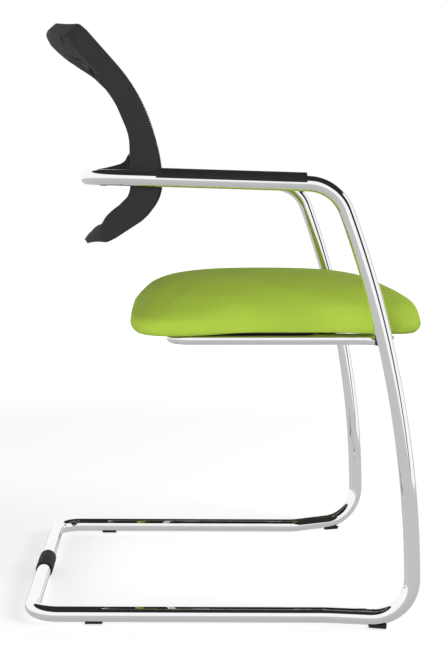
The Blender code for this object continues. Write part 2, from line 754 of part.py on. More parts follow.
def squareness(bearing, inset, height):
    rear = ease(math.sin(bearing), *REAR_SINES) * ease(height, *REAR_HEIGHTS)
    power = SEAT_SQUARENESS + (SEAT_REAR_SQUARENESS - SEAT_SQUARENESS) * rear
    return power + (SEAT_CROWN_SQUARENESS - power) * ease(inset, *CROWN_INSETS)


def seat_point(bearing, inset, height):
    """A place drawn in from the pad's outline, at a height over the turned-in fabric."""
    power = squareness(bearing, inset, height)
    across = abs(math.cos(bearing) / (SEAT_HALF_WIDTH - inset)) ** power
    along = abs(math.sin(bearing) / (SEAT_HALF_LENGTH - inset)) ** power
    reach = (across + along) ** (-1 / power)
    y = SEAT_MIDDLE_Y + reach * math.sin(bearing)
    return Vector((reach * math.cos(bearing), y, FABRIC_BOTTOM + height))


def seat_ring(inset, height):
    return [seat_point(bearing, inset, height) for bearing in seat_bearings()]


def edge_at(bearing):
    """The pad's edge on this side, as (inset, height), with less of a lip over the support tube."""
    sine = math.sin(bearing)
    deep = ease(sine, *REAR_LIP) if sine > 0 else ease(-sine, *FRONT_LIP)
    lip = SIDE_LIP + (1 - SIDE_LIP) * deep
    fullness = SIDE_FULLNESS * (1 - ease(abs(sine), *SIDE_SINES))
    profile = []
    for front, rear in zip(EDGE_FRONT, EDGE_REAR):
        inset, height = Vector(front).lerp(Vector(rear), ease(sine, -1, 1))
        if height <= 0:
            inset, height = inset * (1 - fullness), height * lip
        profile.append((inset, height))
    return profile


def moved_in(profile, thickness):
    """An edge profile moved in by a thickness, square to itself."""
    moved = []
    last = len(profile) - 1
    for i, (inset, height) in enumerate(profile):
        before, after = profile[max(i - 1, 0)], profile[min(i + 1, last)]
        way = Vector((after[0] - before[0], after[1] - before[1])).normalized()
        if i in (0, last):
            way = Vector((1 if i else -1, 0))
        moved.append((inset + way.y * thickness, height - way.x * thickness))
    return moved


def edge_rings(thickness):
    """Rings of the pad's outside, from under its edge to the crown, moved in by a thickness."""
    bearings = seat_bearings()
    edges = [moved_in(edge_at(bearing), thickness) for bearing in bearings]
    return [[seat_point(bearing, *spot) for bearing, spot in zip(bearings, ring)] for ring in zip(*edges)]


def seat_plate(name, material_name, inset, bottom, top):
    heights = [bottom - FABRIC_BOTTOM, top - FABRIC_BOTTOM]
    return solid(name, material_name, [seat_ring(inset, height) for height in heights])


def seat_pad():
    crown = Vector((0, SEAT_MIDDLE_Y, SEAT_CROWN))
    inner_crown = crown - Vector((0, 0, FABRIC_THICKNESS))
    margin = [seat_ring(FABRIC_MARGIN, height) for height in (FABRIC_THICKNESS, 0)]
    rings = edge_rings(FABRIC_THICKNESS)[::-1] + margin + edge_rings(0)
    solid("seat_cover", "fabric", rings, start=inner_crown, end=crown)

    wall = BOARD_INSET - GAP
    ceiling = Vector((0, SEAT_MIDDLE_Y, BOARD_TOP + GAP))
    heights = (ceiling.z - FABRIC_BOTTOM, FABRIC_THICKNESS + FOAM_GAP)
    pocket = [seat_ring(wall, height) for height in heights[::-1]]
    fill = edge_rings(FABRIC_THICKNESS + FOAM_GAP)[::-1]
    solid("seat_foam", "foam", fill + pocket, start=inner_crown - Vector((0, 0, FOAM_GAP)), end=ceiling)


def seat_board():
    board = seat_plate("seat_board", "plywood", BOARD_INSET, BOARD_BOTTOM, BOARD_TOP)
    barrel = clear_radius(T_NUT_BARREL_RADIUS)
    flange = clear_radius(T_NUT_FLANGE_RADIUS)
    seat = BOARD_THICKNESS - T_NUT_FLANGE_THICKNESS - GAP
    profile = [(barrel, -BOARD_THICKNESS), (barrel, seat), (flange, seat), (flange, 2 * BOARD_THICKNESS)]
    holes = [turned((x, y, BOARD_BOTTOM), (0, 0, 1), profile) for x, y in bolt_places().values()]
    cut(board, "board_holes", holes)


def under_cover():
    inset = UNDER_COVER_INSET
    cover = seat_plate("seat_under_cover", "black_plastic", inset, UNDER_COVER_BOTTOM, UNDER_COVER_TOP)
    start = UNDER_COVER_BOTTOM - UNDER_COVER_THICKNESS
    length = 3 * UNDER_COVER_THICKNESS
    holes = [hole((x, y, start), (0, 0, 1), BOLT_RADIUS, length) for x, y in bolt_places().values()]
    cut(cover, "under_cover_holes", holes)


# Arm pads


def arm_pads():
    """Half shells on top of the arms, each with two pegs in the tube."""
    steps = 12
    inner = clear_radius(TUBE_RADIUS, round(math.pi / PAD_WRAP * steps))
    angles = [-PAD_WRAP + 2 * PAD_WRAP * i / steps for i in range(steps + 1)]
    ends = [arm_point(PAD_FRONT_Y), arm_point(PAD_REAR_Y)]
    across, up = Vector((1, 0, 0)), arm_up()
    for name, side in (("left", 1), ("right", -1)):
        rings = []
        for end in ends:
            centre = mirrored(end, side)
            arcs = []
            for radius, turns in ((inner, angles), (inner + PAD_THICKNESS, angles[::-1])):
                arcs += [centre + (across * math.sin(a) + up * math.cos(a)) * radius for a in turns]
            rings.append(arcs)
        pad = solid(f"arm_pad_{name}", "black_plastic", rings)
        pegs = []
        for place in peg_places():
            root = mirrored(place, side) + up * (inner + PAD_THICKNESS / 2)
            length = PAD_THICKNESS / 2 + PAD_PEG_LENGTH
            pegs.append(turned(root, -up, [(PAD_PEG_RADIUS, 0), (PAD_PEG_RADIUS, length)]))
        join(pad, f"pegs_{name}", pegs)


# Back


def lean_at(along):
    """How far the side edge leans from upright, at a distance along the sheet from its waist."""
    if along > 0:
        return min(along / UPPER_RADIUS, UPPER_LEAN)
    return max(along / LOWER_RADIUS, -LOWER_LEAN)


def hollow_at(along):
    """Depth of the sheet's hollow between its side edges."""
    if along > 0:
        started = math.hypot(along, HOLLOW_WAIST) - HOLLOW_WAIST
        return HOLLOW - HOLLOW_LOST_ABOVE * (started / BACK_TOP) ** HOLLOW_POWER_ABOVE
    return HOLLOW - HOLLOW_LOST_BELOW * (along / BACK_BOTTOM) ** HOLLOW_POWER_BELOW


def back_point(x, along, depth):
    """A place on the back: across, along the sheet from its waist, and behind its front face."""
    lean = lean_at(along)
    radius = UPPER_RADIUS if along > 0 else LOWER_RADIUS
    straight = along - lean * radius
    bar = back_bar_centre()
    y = bar.y - WAIST_FROM_BAR + radius * (1 - math.cos(lean)) + straight * math.sin(lean)
    z = bar.z - WAIST_BELOW_BAR + radius * math.sin(lean) + straight * math.cos(lean)
    behind = depth + hollow_at(along) * (1 - (x / BACK_HALF_WIDTH) ** 2)
    return Vector((x, y + behind * math.cos(lean), z - behind * math.sin(lean)))


def corner_drop(x):
    """How far the rounded corner pulls the top or bottom edge in."""
    past = abs(x) - (BACK_HALF_WIDTH - BACK_CORNER_RADIUS)
    if past <= 0:
        return 0.0
    return BACK_CORNER_RADIUS - math.sqrt(max(BACK_CORNER_RADIUS**2 - past**2, 0.0))


def arch(x, roundness):
    """0 in the middle and 1 at the sides."""

    def rise(share):
        return math.hypot(share, roundness) - roundness

    return rise(x / BACK_HALF_WIDTH) / rise(1)


def top_edge(x):
    return BACK_TOP - BACK_TOP_ARCH * arch(x, TOP_ARCH_ROUNDNESS) - corner_drop(x)


def bottom_edge(x):
    return BACK_BOTTOM + BACK_BOTTOM_ARCH * arch(x, BOTTOM_ARCH_ROUNDNESS) + corner_drop(x)


def back_columns():
    middle = BACK_HALF_WIDTH - BACK_CORNER_RADIUS
    columns = [middle * (2 * i / BACK_COLUMNS - 1) for i in range(BACK_COLUMNS + 1)]
    corner = [middle + BACK_CORNER_RADIUS * math.sin(math.radians(a)) for a in (30, 60, 90)]
    corner[-1] = BACK_HALF_WIDTH
    return [-x for x in corner[::-1]] + columns + corner


def level_rows():
    """Rows of the sheet that run straight across, between its arched ends."""
    lower = [-LOWER_RADIUS * LOWER_LEAN * (1 - i / LOWER_ROWS) for i in range(LOWER_ROWS)]
    upper = [UPPER_RADIUS * UPPER_LEAN * i / UPPER_ROWS for i in range(UPPER_ROWS + 1)]
    low_end = bottom_edge(BACK_HALF_WIDTH) + LOW_ROW_INSET
    high_end = top_edge(BACK_HALF_WIDTH) - HIGH_ROW_INSET
    between = [row for row in lower + upper if low_end + ROW_SPACING < row < high_end - ROW_SPACING]
    return [low_end, *between, high_end]


def back_grid():
    """Places (x, along) of the sheet, row by row from the bottom, column by column."""
    level = level_rows()
    grid = []
    for i in range(END_ROWS):
        share = i / END_ROWS
        grid.append([(x, bottom_edge(x) + (level[0] - bottom_edge(x)) * share) for x in back_columns()])
    grid += [[(x, row) for x in back_columns()] for row in level]
    for i in range(1, END_ROWS + 1):
        share = i / END_ROWS
        grid.append([(x, level[-1] + (top_edge(x) - level[-1]) * share) for x in back_columns()])
    return grid


def grid_border(grid):
    """Row and column of each place round the edge, once round."""
    rows, columns = len(grid), len(grid[0])
    border = [(0, j) for j in range(columns)]
    border += [(i, columns - 1) for i in range(1, rows)]
    border += [(rows - 1, j) for j in range(columns - 2, -1, -1)]
    border += [(i, 0) for i in range(rows - 2, 0, -1)]
    return border


def border_stations():
    """Each place round the edge, with its inward direction in the sheet."""
    grid = back_grid()
    places = [Vector(grid[i][j]) for i, j in grid_border(grid)]
    stations = []
    for i, place in enumerate(places):
        way = (places[(i + 1) % len(places)] - places[i - 1]).normalized()
        stations.append((place, Vector((-way.y, way.x))))
    return stations


def border_ring(section):
    """One ring for each station round the edge. section gives its (inset, depth) points."""
    rings = []
    for place, inward in border_stations():
        spots = [(place + inward * inset, depth) for inset, depth in section(place)]
        rings.append([back_point(spot.x, spot.y, depth) for spot, depth in spots])
    return rings


def back_mesh():
    """The sheet, with a skirt that turns back round the frame."""
    grid = back_grid()
    rows, columns = len(grid), len(grid[0])
    border = grid_border(grid)
    stations = border_stations()
    bm = bmesh.new()
    front = [[bm.verts.new(back_point(x, w, 0)) for x, w in row] for row in grid]
    inset = {
        spot: place + inward * MESH_THICKNESS for spot, (place, inward) in zip(border, stations)
    }
    rear = []
    for i, row in enumerate(grid):
        spots = [inset.get((i, j), Vector(place)) for j, place in enumerate(row)]
        rear.append([bm.verts.new(back_point(s.x, s.y, MESH_THICKNESS)) for s in spots])
    for i in range(rows - 1):
        for j in range(columns - 1):
            bm.faces.new((front[i][j], front[i + 1][j], front[i + 1][j + 1], front[i][j + 1]))
            bm.faces.new((rear[i][j], rear[i][j + 1], rear[i + 1][j + 1], rear[i + 1][j]))
    hems = []
    for offset in (0, MESH_THICKNESS):
        spots = [place + inward * offset for place, inward in stations]
        hems.append([bm.verts.new(back_point(s.x, s.y, MESH_SKIRT)) for s in spots])
    edges = [[front[i][j] for i, j in border], hems[0], hems[1], [rear[i][j] for i, j in border]]
    for first, second in zip(edges, edges[1:]):
        for i in range(len(border)):
            j = (i + 1) % len(border)
            bm.faces.new((first[i], first[j], second[j], second[i]))
    add("back_mesh", mesh_of("back_mesh", bm), "mesh")


def grip_share(place):
    """1 along the grip in the top rail, 0 on the sides and the bottom."""
    if place.y < top_edge(BACK_HALF_WIDTH):
        return 0.0
    return 1 - ease(abs(place.x), GRIP_FULL_X, GRIP_END_X)


def bottom_share(place):
    if place.y > bottom_edge(BACK_HALF_WIDTH):
        return 0.0
    return 1 - ease(abs(place.x), BOTTOM_FULL_X, BACK_HALF_WIDTH - BACK_CORNER_RADIUS)


def wall_depth(along):
    """How far back the side wall reaches, seen from the front of the mesh."""
    rise = ease(along, *WALL_RISE) * (1 - ease(along, *WALL_FALL))
    return hollow_at(along) * (WALL_SHARE + WALL_SHARE_RISE * rise)


def frame_section(place):
    """Section of the frame's moulding, from the front outer corner, with a groove for the retainer."""
    grip, bottom = grip_share(place), bottom_share(place)
    width = RAIL_WIDTH + (GRIP_WIDTH - RAIL_WIDTH) * grip + (BOTTOM_RAIL_WIDTH - RAIL_WIDTH) * bottom
    depth = RAIL_DEPTH + (GRIP_DEPTH - RAIL_DEPTH) * grip + (BOTTOM_RAIL_DEPTH - RAIL_DEPTH) * bottom
    face = MESH_THICKNESS + MESH_GAP
    edge = MESH_THICKNESS + GAP
    groove = RETAINER_WIDTH + 2 * GAP
    groove_end = MESH_SKIRT + RETAINER_DEPTH + 2 * GAP
    lip = groove + GAP + (edge - groove) * grip
    points = [(edge, face)]
    for rail, swell in zip(RAIL_SECTION, GRIP_SECTION):
        inset, up = Vector(rail).lerp(Vector(swell), grip)
        points.append((width * inset, face + depth * up))
    lips = []
    for rail, swell in zip(RAIL_LIP, GRIP_LIP):
        inset, up = Vector(rail).lerp(Vector(swell), grip)
        lips.append(Vector((lip + width * inset, face + depth * up)))
    last = Vector(points[-1])
    plain = [last.lerp(lips[0], 1 / 3), last.lerp(lips[0], 2 / 3), *lips]
    wall, foot = (1 - grip) * (1 - bottom), face + depth
    for spot, (inset, up) in zip(plain, WALL_SECTION):
        raised = Vector((inset, foot + (wall_depth(place.y) - foot) * up))
        points.append(tuple(spot.lerp(raised, wall)))
    shoulder = lip + (WALL_SECTION[-1][0] - lip) * wall
    points += [(shoulder, groove_end + GAP), (groove, groove_end)]
    return points + [(groove, MESH_SKIRT), (edge, MESH_SKIRT)]


def rail_screw_places():
    """Where the bracket is screwed to the side rails of the frame: (x, along)."""
    return {
        f"{side_name}_{row}": (side * RAIL_SCREW_X, along)
        for side_name, side in (("left", 1), ("right", -1))
        for row, along in zip(("lower", "upper"), RAIL_SCREW_HEIGHTS)
    }


def rail_rear():
    """How far the back of the frame's side rails lies behind the front of the mesh."""
    return MESH_THICKNESS + MESH_GAP + RAIL_DEPTH


def rail_screw_seat():
    return rail_rear() + BRACKET_GAP + BRACKET_THICKNESS - RAIL_SCREW_SINK


def square_to_back(along):
    """The way forward through the back's side edge, square to it."""
    lean = lean_at(along)
    return Vector((0, -math.cos(lean), math.sin(lean)))


def back_frame():
    frame = solid("back_frame", "grey_black_plastic", border_ring(frame_section), loop=True)
    holes = []
    for x, along in rail_screw_places().values():
        seat = back_point(x, along, rail_screw_seat())
        holes.append(hole(seat, square_to_back(along), RAIL_SCREW_RADIUS, RAIL_SCREW_LENGTH + GAP))
    cut(frame, "rail_screw_holes", holes)


def mesh_retainer():
    """A bead round the frame that holds the turned-back edge of the mesh."""
    low, high = MESH_SKIRT + GAP, MESH_SKIRT + GAP + RETAINER_DEPTH
    section = [(GAP, low), (GAP + RETAINER_WIDTH, low), (GAP + RETAINER_WIDTH, high), (GAP, high)]
    solid("mesh_retainer", "black_plastic", border_ring(lambda place: section), loop=True)


def bracket_depth(x):
    """The bracket's front face runs close behind the mesh and steps back behind the side rails."""
    near = MESH_THICKNESS + BRACKET_GAP
    far = rail_rear() + BRACKET_GAP
    return near + (far - near) * ease(abs(x), SADDLE_HALF_WIDTH, BRACKET_BEHIND_X)


def saddle_section(x):
    """From inside the rail, back in a fillet to the top of the crossbar, and down in front of it."""
    bar = back_bar_centre()
    inner = clear_radius(TUBE_RADIUS, 2 * SIDES)
    depth = bracket_depth(x) + BRACKET_THICKNESS / 2
    spots = [back_point(x, along, depth) for along in (BRACKET_LOW + BRACKET_EDGE, SADDLE_HIGH)]
    outline = [(spot.y, spot.z) for spot in spots]
    outline += [(y, bar.z + height) for y, height in SADDLE_TOP]
    steps = 9
    for i in range(steps + 1):
        angle = CRADLE_START + (CRADLE_END - CRADLE_START) * i / steps
        outline.append((bar.y + inner * math.cos(angle), bar.z + inner * math.sin(angle)))
    reach = inner + CRADLE_LIP
    outline.append((bar.y + reach * math.cos(CRADLE_END), bar.z + reach * math.sin(CRADLE_END)))
    return [Vector((x, y, z)) for y, z in outline]


def bracket_section(x):
    front = bracket_depth(x)
    middle = (BRACKET_LOW + BRACKET_HIGH) / 2
    spots = [(along, front) for along in (BRACKET_LOW, middle, BRACKET_HIGH)]
    rear = (BRACKET_HIGH - BRACKET_EDGE, middle, BRACKET_LOW + BRACKET_EDGE)
    spots += [(along, front + BRACKET_THICKNESS) for along in rear]
    return [back_point(x, along, depth) for along, depth in spots]


def back_bracket():
    steps = 12
    inner = BACK_HALF_WIDTH - RAIL_WIDTH
    places = [inner * (2 * i / steps - 1) for i in range(steps + 1)]
    rings = [bracket_section(x) for x in (-BRACKET_END_X, *places, BRACKET_END_X)]
    bracket = solid("back_bracket", "grey_black_plastic", rings)
    saddle = [saddle_section(SADDLE_HALF_WIDTH * (i / 2 - 1)) for i in range(5)]
    join(bracket, "saddle", [saddle])
    shank, head = clear_radius(RAIL_SCREW_RADIUS), clear_radius(RAIL_SCREW_HEAD_RADIUS)
    profile = [
        (head, -2 * BRACKET_THICKNESS),
        (head, 0),
        (shank, 0),
        (shank, 2 * BRACKET_THICKNESS),
    ]
    holes = []
    for x, along in rail_screw_places().values():
        holes.append(turned(back_point(x, along, rail_screw_seat()), square_to_back(along), profile))
    bar = back_bar_centre()
    face = TUBE_RADIUS + GAP + INSERT_SETBACK
    pocket = clear_radius(INSERT_RADIUS)
    bore = clear_radius(BOLT_RADIUS)
    tip = BACK_SCREW_LENGTH - TUBE_RADIUS + GAP
    step = face + INSERT_LENGTH + GAP
    profile = [(pocket, 0), (pocket, step), (bore, step), (bore, tip)]
    for side in (1, -1):
        holes.append(turned((side * BACK_SCREW_X, bar.y, bar.z), (0, -1, 0), profile))
    cut(bracket, "bracket_holes", holes)


def back_fasteners():
    bar = back_bar_centre()
    forward = Vector((0, -1, 0))
    profile = screw_profile(BOLT_RADIUS, BACK_SCREW_LENGTH, BOLT_HEAD_RADIUS, BOLT_HEAD_HEIGHT)
    screw = turned_mesh("back_screw", profile)
    bore = clear_radius(BOLT_RADIUS)
    insert_profile = [(bore, 0), (INSERT_RADIUS, 0), (INSERT_RADIUS, INSERT_LENGTH), (bore, INSERT_LENGTH)]
    insert = turned_mesh("back_insert", insert_profile, bored=True)
    for name, side in (("left", 1), ("right", -1)):
        x = side * BACK_SCREW_X
        head = (x, bar.y + TUBE_RADIUS + GAP, bar.z)
        add(f"back_screw_{name}", screw, "zinc", placed(head, forward))
        face = (x, bar.y - TUBE_RADIUS - GAP - INSERT_SETBACK, bar.z)
        add(f"back_insert_{name}", insert, "brass", placed(face, forward))

    length = RAIL_SCREW_LENGTH - GAP
    profile = screw_profile(RAIL_SCREW_RADIUS, length, RAIL_SCREW_HEAD_RADIUS, RAIL_SCREW_HEAD_HEIGHT)
    small = turned_mesh("rail_screw", profile)
    for name, (x, along) in rail_screw_places().items():
        seat = back_point(x, along, rail_screw_seat() + GAP)
        add(f"rail_screw_{name}", small, "zinc", placed(seat, square_to_back(along)))


def build():
    for old in list(bpy.data.objects):
        bpy.data.objects.remove(old, do_unlink=True)
    chair = bpy.data.objects.new("chair", None)
    bpy.context.scene.collection.objects.link(chair)
    main_frame()
    spigots()
    base_sleeve()
    glides()
    seat_support()
    lugs()
    fasteners()
    stacking_buffers()
    under_cover()
    seat_board()
    seat_pad()
    arm_pads()
    back_mesh()
    back_frame()
    mesh_retainer()
    back_bracket()
    back_fasteners()


build()
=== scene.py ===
import json
import math

import bmesh
import bpy
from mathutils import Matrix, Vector
from mathutils.bvhtree import BVHTree


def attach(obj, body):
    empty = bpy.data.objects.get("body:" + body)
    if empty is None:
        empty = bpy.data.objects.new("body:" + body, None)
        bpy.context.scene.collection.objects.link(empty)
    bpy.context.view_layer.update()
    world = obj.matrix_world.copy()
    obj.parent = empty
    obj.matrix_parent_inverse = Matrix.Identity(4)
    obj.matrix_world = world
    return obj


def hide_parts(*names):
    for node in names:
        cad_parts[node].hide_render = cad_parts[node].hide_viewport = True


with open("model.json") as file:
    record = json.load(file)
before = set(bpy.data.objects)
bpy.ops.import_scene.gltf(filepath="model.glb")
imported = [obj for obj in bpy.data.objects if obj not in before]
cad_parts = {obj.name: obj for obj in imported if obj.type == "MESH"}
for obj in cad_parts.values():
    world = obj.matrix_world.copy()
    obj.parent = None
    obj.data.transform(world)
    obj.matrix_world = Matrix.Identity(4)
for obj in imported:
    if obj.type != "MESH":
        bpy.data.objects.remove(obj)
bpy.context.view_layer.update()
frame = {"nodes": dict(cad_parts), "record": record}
scene = bpy.context.scene
print("chair: frame loaded, " + str(len(frame["nodes"])) + " nodes")


# camera, as in the photograph

cameraView = {
    "place": (-2.0428, 0.0822, 0.6082),
    "yaw": -0.2753,         # degrees, from straight across the chair
    "pitch": 1.0,           # degrees down
    "lens": 71.66,          # mm, over 36 mm on the long side of a 448 x 653 picture
    "shift": (0.0744, -0.1787),
    "clipEnd": 60,
}


def makeCamera(view):
    data = bpy.data.cameras.new("sideCamera")
    data.lens = view["lens"]
    data.shift_x, data.shift_y = view["shift"]
    data.clip_end = view["clipEnd"]
    camera = bpy.data.objects.new("sideCamera", data)
    camera.location = view["place"]
    camera.rotation_euler = (math.radians(90 - view["pitch"]), 0, math.radians(view["yaw"] - 90))
    scene.collection.objects.link(camera)
    scene.camera = camera


makeCamera(cameraView)
scene.view_settings.view_transform = "Standard"


# helpers for meshes

mergeWithin = {"grids": 0.00002, "copies": 0.00001}


def bentGrid(columns, rows, place):
    # a grid whose points (u, v), each from 0 to 1, go to place(u, v), and are merged where they meet
    bm = bmesh.new()
    bmesh.ops.create_grid(bm, x_segments=columns, y_segments=rows, size=0.5)
    for vert in bm.verts:
        vert.co = place(vert.co.x + 0.5, vert.co.y + 0.5)
    bmesh.ops.remove_doubles(bm, verts=bm.verts, dist=mergeWithin["grids"])
    return bm


def closeEnds(bm):
    bmesh.ops.holes_fill(bm, edges=[edge for edge in bm.edges if edge.is_boundary], sides=0)


def meshFrom(name, bm, sharp=40):
    # edges sharper than so many degrees stay sharp
    bmesh.ops.recalc_face_normals(bm, faces=bm.faces)
    mesh = bpy.data.meshes.new(name)
    bm.to_mesh(mesh)
    bm.free()
    mesh.shade_smooth()
    mesh.set_sharp_from_angle(angle=math.radians(sharp))
    return mesh


def addPiece(name, mesh, slot, replaced=()):
    piece = bpy.data.objects.new(name, mesh)
    scene.collection.objects.link(piece)
    mesh.materials.clear()
    mesh.materials.append(finishes[slot])
    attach(piece, "root")
    if replaced:
        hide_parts(*replaced)
    return piece


def applyModifiers(piece):
    graph = bpy.context.evaluated_depsgraph_get()
    made = bpy.data.meshes.new_from_object(piece.evaluated_get(graph))
    piece.modifiers.clear()
    piece.data = made


def subdivide(piece, levels):
    modifier = piece.modifiers.new("smoother", "SUBSURF")
    modifier.levels = modifier.render_levels = levels


def ease(value, low, high):
    # 0 up to low, 1 from high on, smooth between them
    t = min(max((value - low) / (high - low), 0.0), 1.0)
    return t * t * (3 - 2 * t)


def along(points, t):
    # a point at share t of a list of points, with a smooth curve through them
    spot = min(max(t, 0.0), 1.0) * (len(points) - 1)
    i = min(int(spot), len(points) - 2)
    near = [min(max(k, 0), len(points) - 1) for k in (i - 1, i, i + 1, i + 2)]
    before, low, high, after = (Vector(points[k]) for k in near)
    s = spot - i
    return 0.5 * (2 * low + (high - before) * s + (2 * before - 5 * low + 4 * high - after) * s * s
                  + (3 * low - before - 3 * high + after) * s ** 3)


def mirrored(point, side):
    return Vector((point[0] * side, point[1], point[2]))


# materials

def mathsNode(tree, operation, *values):
    # each value is a number or another node's output
    node = tree.nodes.new("ShaderNodeMath")
    node.operation = operation
    for socket, value in zip(node.inputs, values):
        if isinstance(value, (int, float)):
            socket.default_value = value
        else:
            tree.links.new(value, socket)
    return node.outputs["Value"]


def rangeNode(tree, value, low, high, start=0.0, end=1.0, steps="LINEAR"):
    # low to high becomes start to end
    node = tree.nodes.new("ShaderNodeMapRange")
    node.interpolation_type = steps
    for socket, number in zip(("From Min", "From Max", "To Min", "To Max"), (low, high, start, end)):
        node.inputs[socket].default_value = number
    tree.links.new(value, node.inputs["Value"])
    return node.outputs["Result"]


class Finish:
    # a material under construction: nodes are added in front of its Principled shader
    def __init__(self, name, colour, roughness, metallic=0.0, **sockets):
        self.material = bpy.data.materials.new(name)
        self.material.use_nodes = True
        self.tree = self.material.node_tree
        self.shader = self.tree.nodes["Principled BSDF"]
        self.shader.inputs["Base Color"].default_value = (*colour, 1)
        self.shader.inputs["Roughness"].default_value = roughness
        self.shader.inputs["Metallic"].default_value = metallic
        for socket, value in sockets.items():
            self.shader.inputs[socket.replace("_", " ")].default_value = value
        self.colour = colour
        self.place = self.add("ShaderNodeTexCoord").outputs["Object"]

    def add(self, kind, **settings):
        node = self.tree.nodes.new(kind)
        for key, value in settings.items():
            setattr(node, key, value)
        return node

    def link(self, start, end):
        self.tree.links.new(start, end)

    def noise(self, scale, detail=3.0, stretch=(1, 1, 1)):
        mapping = self.add("ShaderNodeMapping")
        mapping.inputs["Scale"].default_value = stretch
        self.link(self.place, mapping.inputs["Vector"])
        texture = self.add("ShaderNodeTexNoise")
        texture.inputs["Scale"].default_value = scale
        texture.inputs["Detail"].default_value = detail
        self.link(mapping.outputs["Vector"], texture.inputs["Vector"])
        return texture.outputs["Fac"]

    def cells(self, scale):
        texture = self.add("ShaderNodeTexVoronoi")
        texture.inputs["Scale"].default_value = scale
        self.link(self.place, texture.inputs["Vector"])
        return texture.outputs["Distance"]

    def stripes(self, direction, pitch):
        # 0 to 1 waves along a direction
        dot = self.add("ShaderNodeVectorMath", operation="DOT_PRODUCT")
        dot.inputs[1].default_value = Vector(direction).normalized() * (2 * math.pi / pitch)
        self.link(self.place, dot.inputs[0])
        wave = self.maths("SINE", dot.outputs["Value"])
        return self.maths("MULTIPLY_ADD", wave, 0.5, 0.5)

    def maths(self, operation, *values):
        return mathsNode(self.tree, operation, *values)

    def tint(self, value, dark, light):
        # the base colour runs from dark to light times the finish's own colour
        mix = self.add("ShaderNodeMix", data_type="RGBA")
        colours = [socket for socket in mix.inputs if socket.type == "RGBA"]
        for socket, share in zip(colours, (dark, light)):
            socket.default_value = (*[min(c * share, 1) for c in self.colour], 1)
        self.link(value, mix.inputs["Factor"])
        result = [socket for socket in mix.outputs if socket.type == "RGBA"][0]
        self.link(result, self.shader.inputs["Base Color"])

    def rough(self, value, low, high):
        self.link(rangeNode(self.tree, value, 0.0, 1.0, low, high), self.shader.inputs["Roughness"])

    def bump(self, value, distance, strength=1.0):
        node = self.add("ShaderNodeBump")
        node.inputs["Distance"].default_value = distance
        node.inputs["Strength"].default_value = strength
        self.link(value, node.inputs["Height"])
        self.link(node.outputs["Normal"], self.shader.inputs["Normal"])


# noises are (scale, detail), bumps are (depth in metres, strength), tones are shares of the colour
looks = {
    "chrome": {
        "colour": (0.93, 0.93, 0.94), "roughness": 0.04,
        "smears": (60, 4), "smearRoughness": (0.012, 0.035), "waves": (9, 2), "bump": (0.00004, 1.0),
    },
    "cloth": {
        "colour": (0.43, 0.61, 0.062), "roughness": 0.85, "tones": (0.80, 1.16),
        "sheen": 0.06, "sheenRoughness": 0.40, "sheenTint": (0.75, 0.95, 0.20, 1),
        "pitch": 0.00115, "threads": ((1, 1, 0.6), (1, -1, 0.6), (1, 1, -0.6)),
        "fuzz": (900, 3), "fuzzShare": 0.5, "clouds": (14, 4), "cloudTone": 0.5, "weaveTone": 0.45,
        "bump": (0.00035, 0.7),
    },
    "net": {
        "colour": (0.024, 0.024, 0.025), "roughness": 0.8, "specular": 0.25, "tones": (0.72, 1.3),
        "pitch": 0.0009, "threads": ((1, 0, 1), (1, 0, -1)), "clouds": (25, 3), "cloudTone": 0.4,
        "bump": (0.0002, 0.8),
    },
    "plastic": {
        "specular": 0.12, "clouds": (40, 5), "tones": (0.88, 1.12),
        "patches": (300, 3), "smoother": 0.08, "rougher": 0.10, "grain": 1600, "bump": (0.00010, 0.6),
    },
    "rubber": {
        "colour": (0.030, 0.030, 0.0305), "roughness": 0.75, "specular": 0.3,
        "clouds": (120, 5), "tones": (0.82, 1.15), "grain": (1500, 2), "bump": (0.00012, 1.0),
    },
    "metal": {
        "clouds": (350, 4), "tones": (0.85, 1.1),
        "patches": (700, 3), "smoother": 0.08, "rougher": 0.12, "grain": (2500, 2), "bump": (0.00003, 1.0),
    },
    "plywood": {
        "colour": (0.62, 0.45, 0.26), "roughness": 0.6, "grain": (22, 6, (1, 9, 30)), "tones": (0.75, 1.15),
    },
    "foam": {
        "colour": (0.80, 0.75, 0.55), "roughness": 0.95,
        "shades": 700, "tones": (0.7, 1.1), "pores": 900, "bump": (0.0004, 1.0),
    },
}
plastics = {
    "grey_black_plastic": {"name": "moulded back plastic", "colour": (0.031, 0.031, 0.0315), "roughness": 0.7},
    "black_plastic": {"name": "black moulded plastic", "colour": (0.022, 0.022, 0.022), "roughness": 0.58},
}
metals = {
    "zinc": {"name": "zinc plate", "colour": (0.62, 0.62, 0.60), "roughness": 0.32},
    "steel": {"name": "plain steel", "colour": (0.45, 0.45, 0.46), "roughness": 0.38},
    "brass": {"name": "brass", "colour": (0.70, 0.53, 0.24), "roughness": 0.30},
}


def makeChrome():
    s = looks["chrome"]
    chrome = Finish("chrome plate", s["colour"], s["roughness"], 1.0)
    chrome.rough(chrome.noise(*s["smears"]), *s["smearRoughness"])
    chrome.bump(chrome.noise(*s["waves"]), *s["bump"])
    return chrome


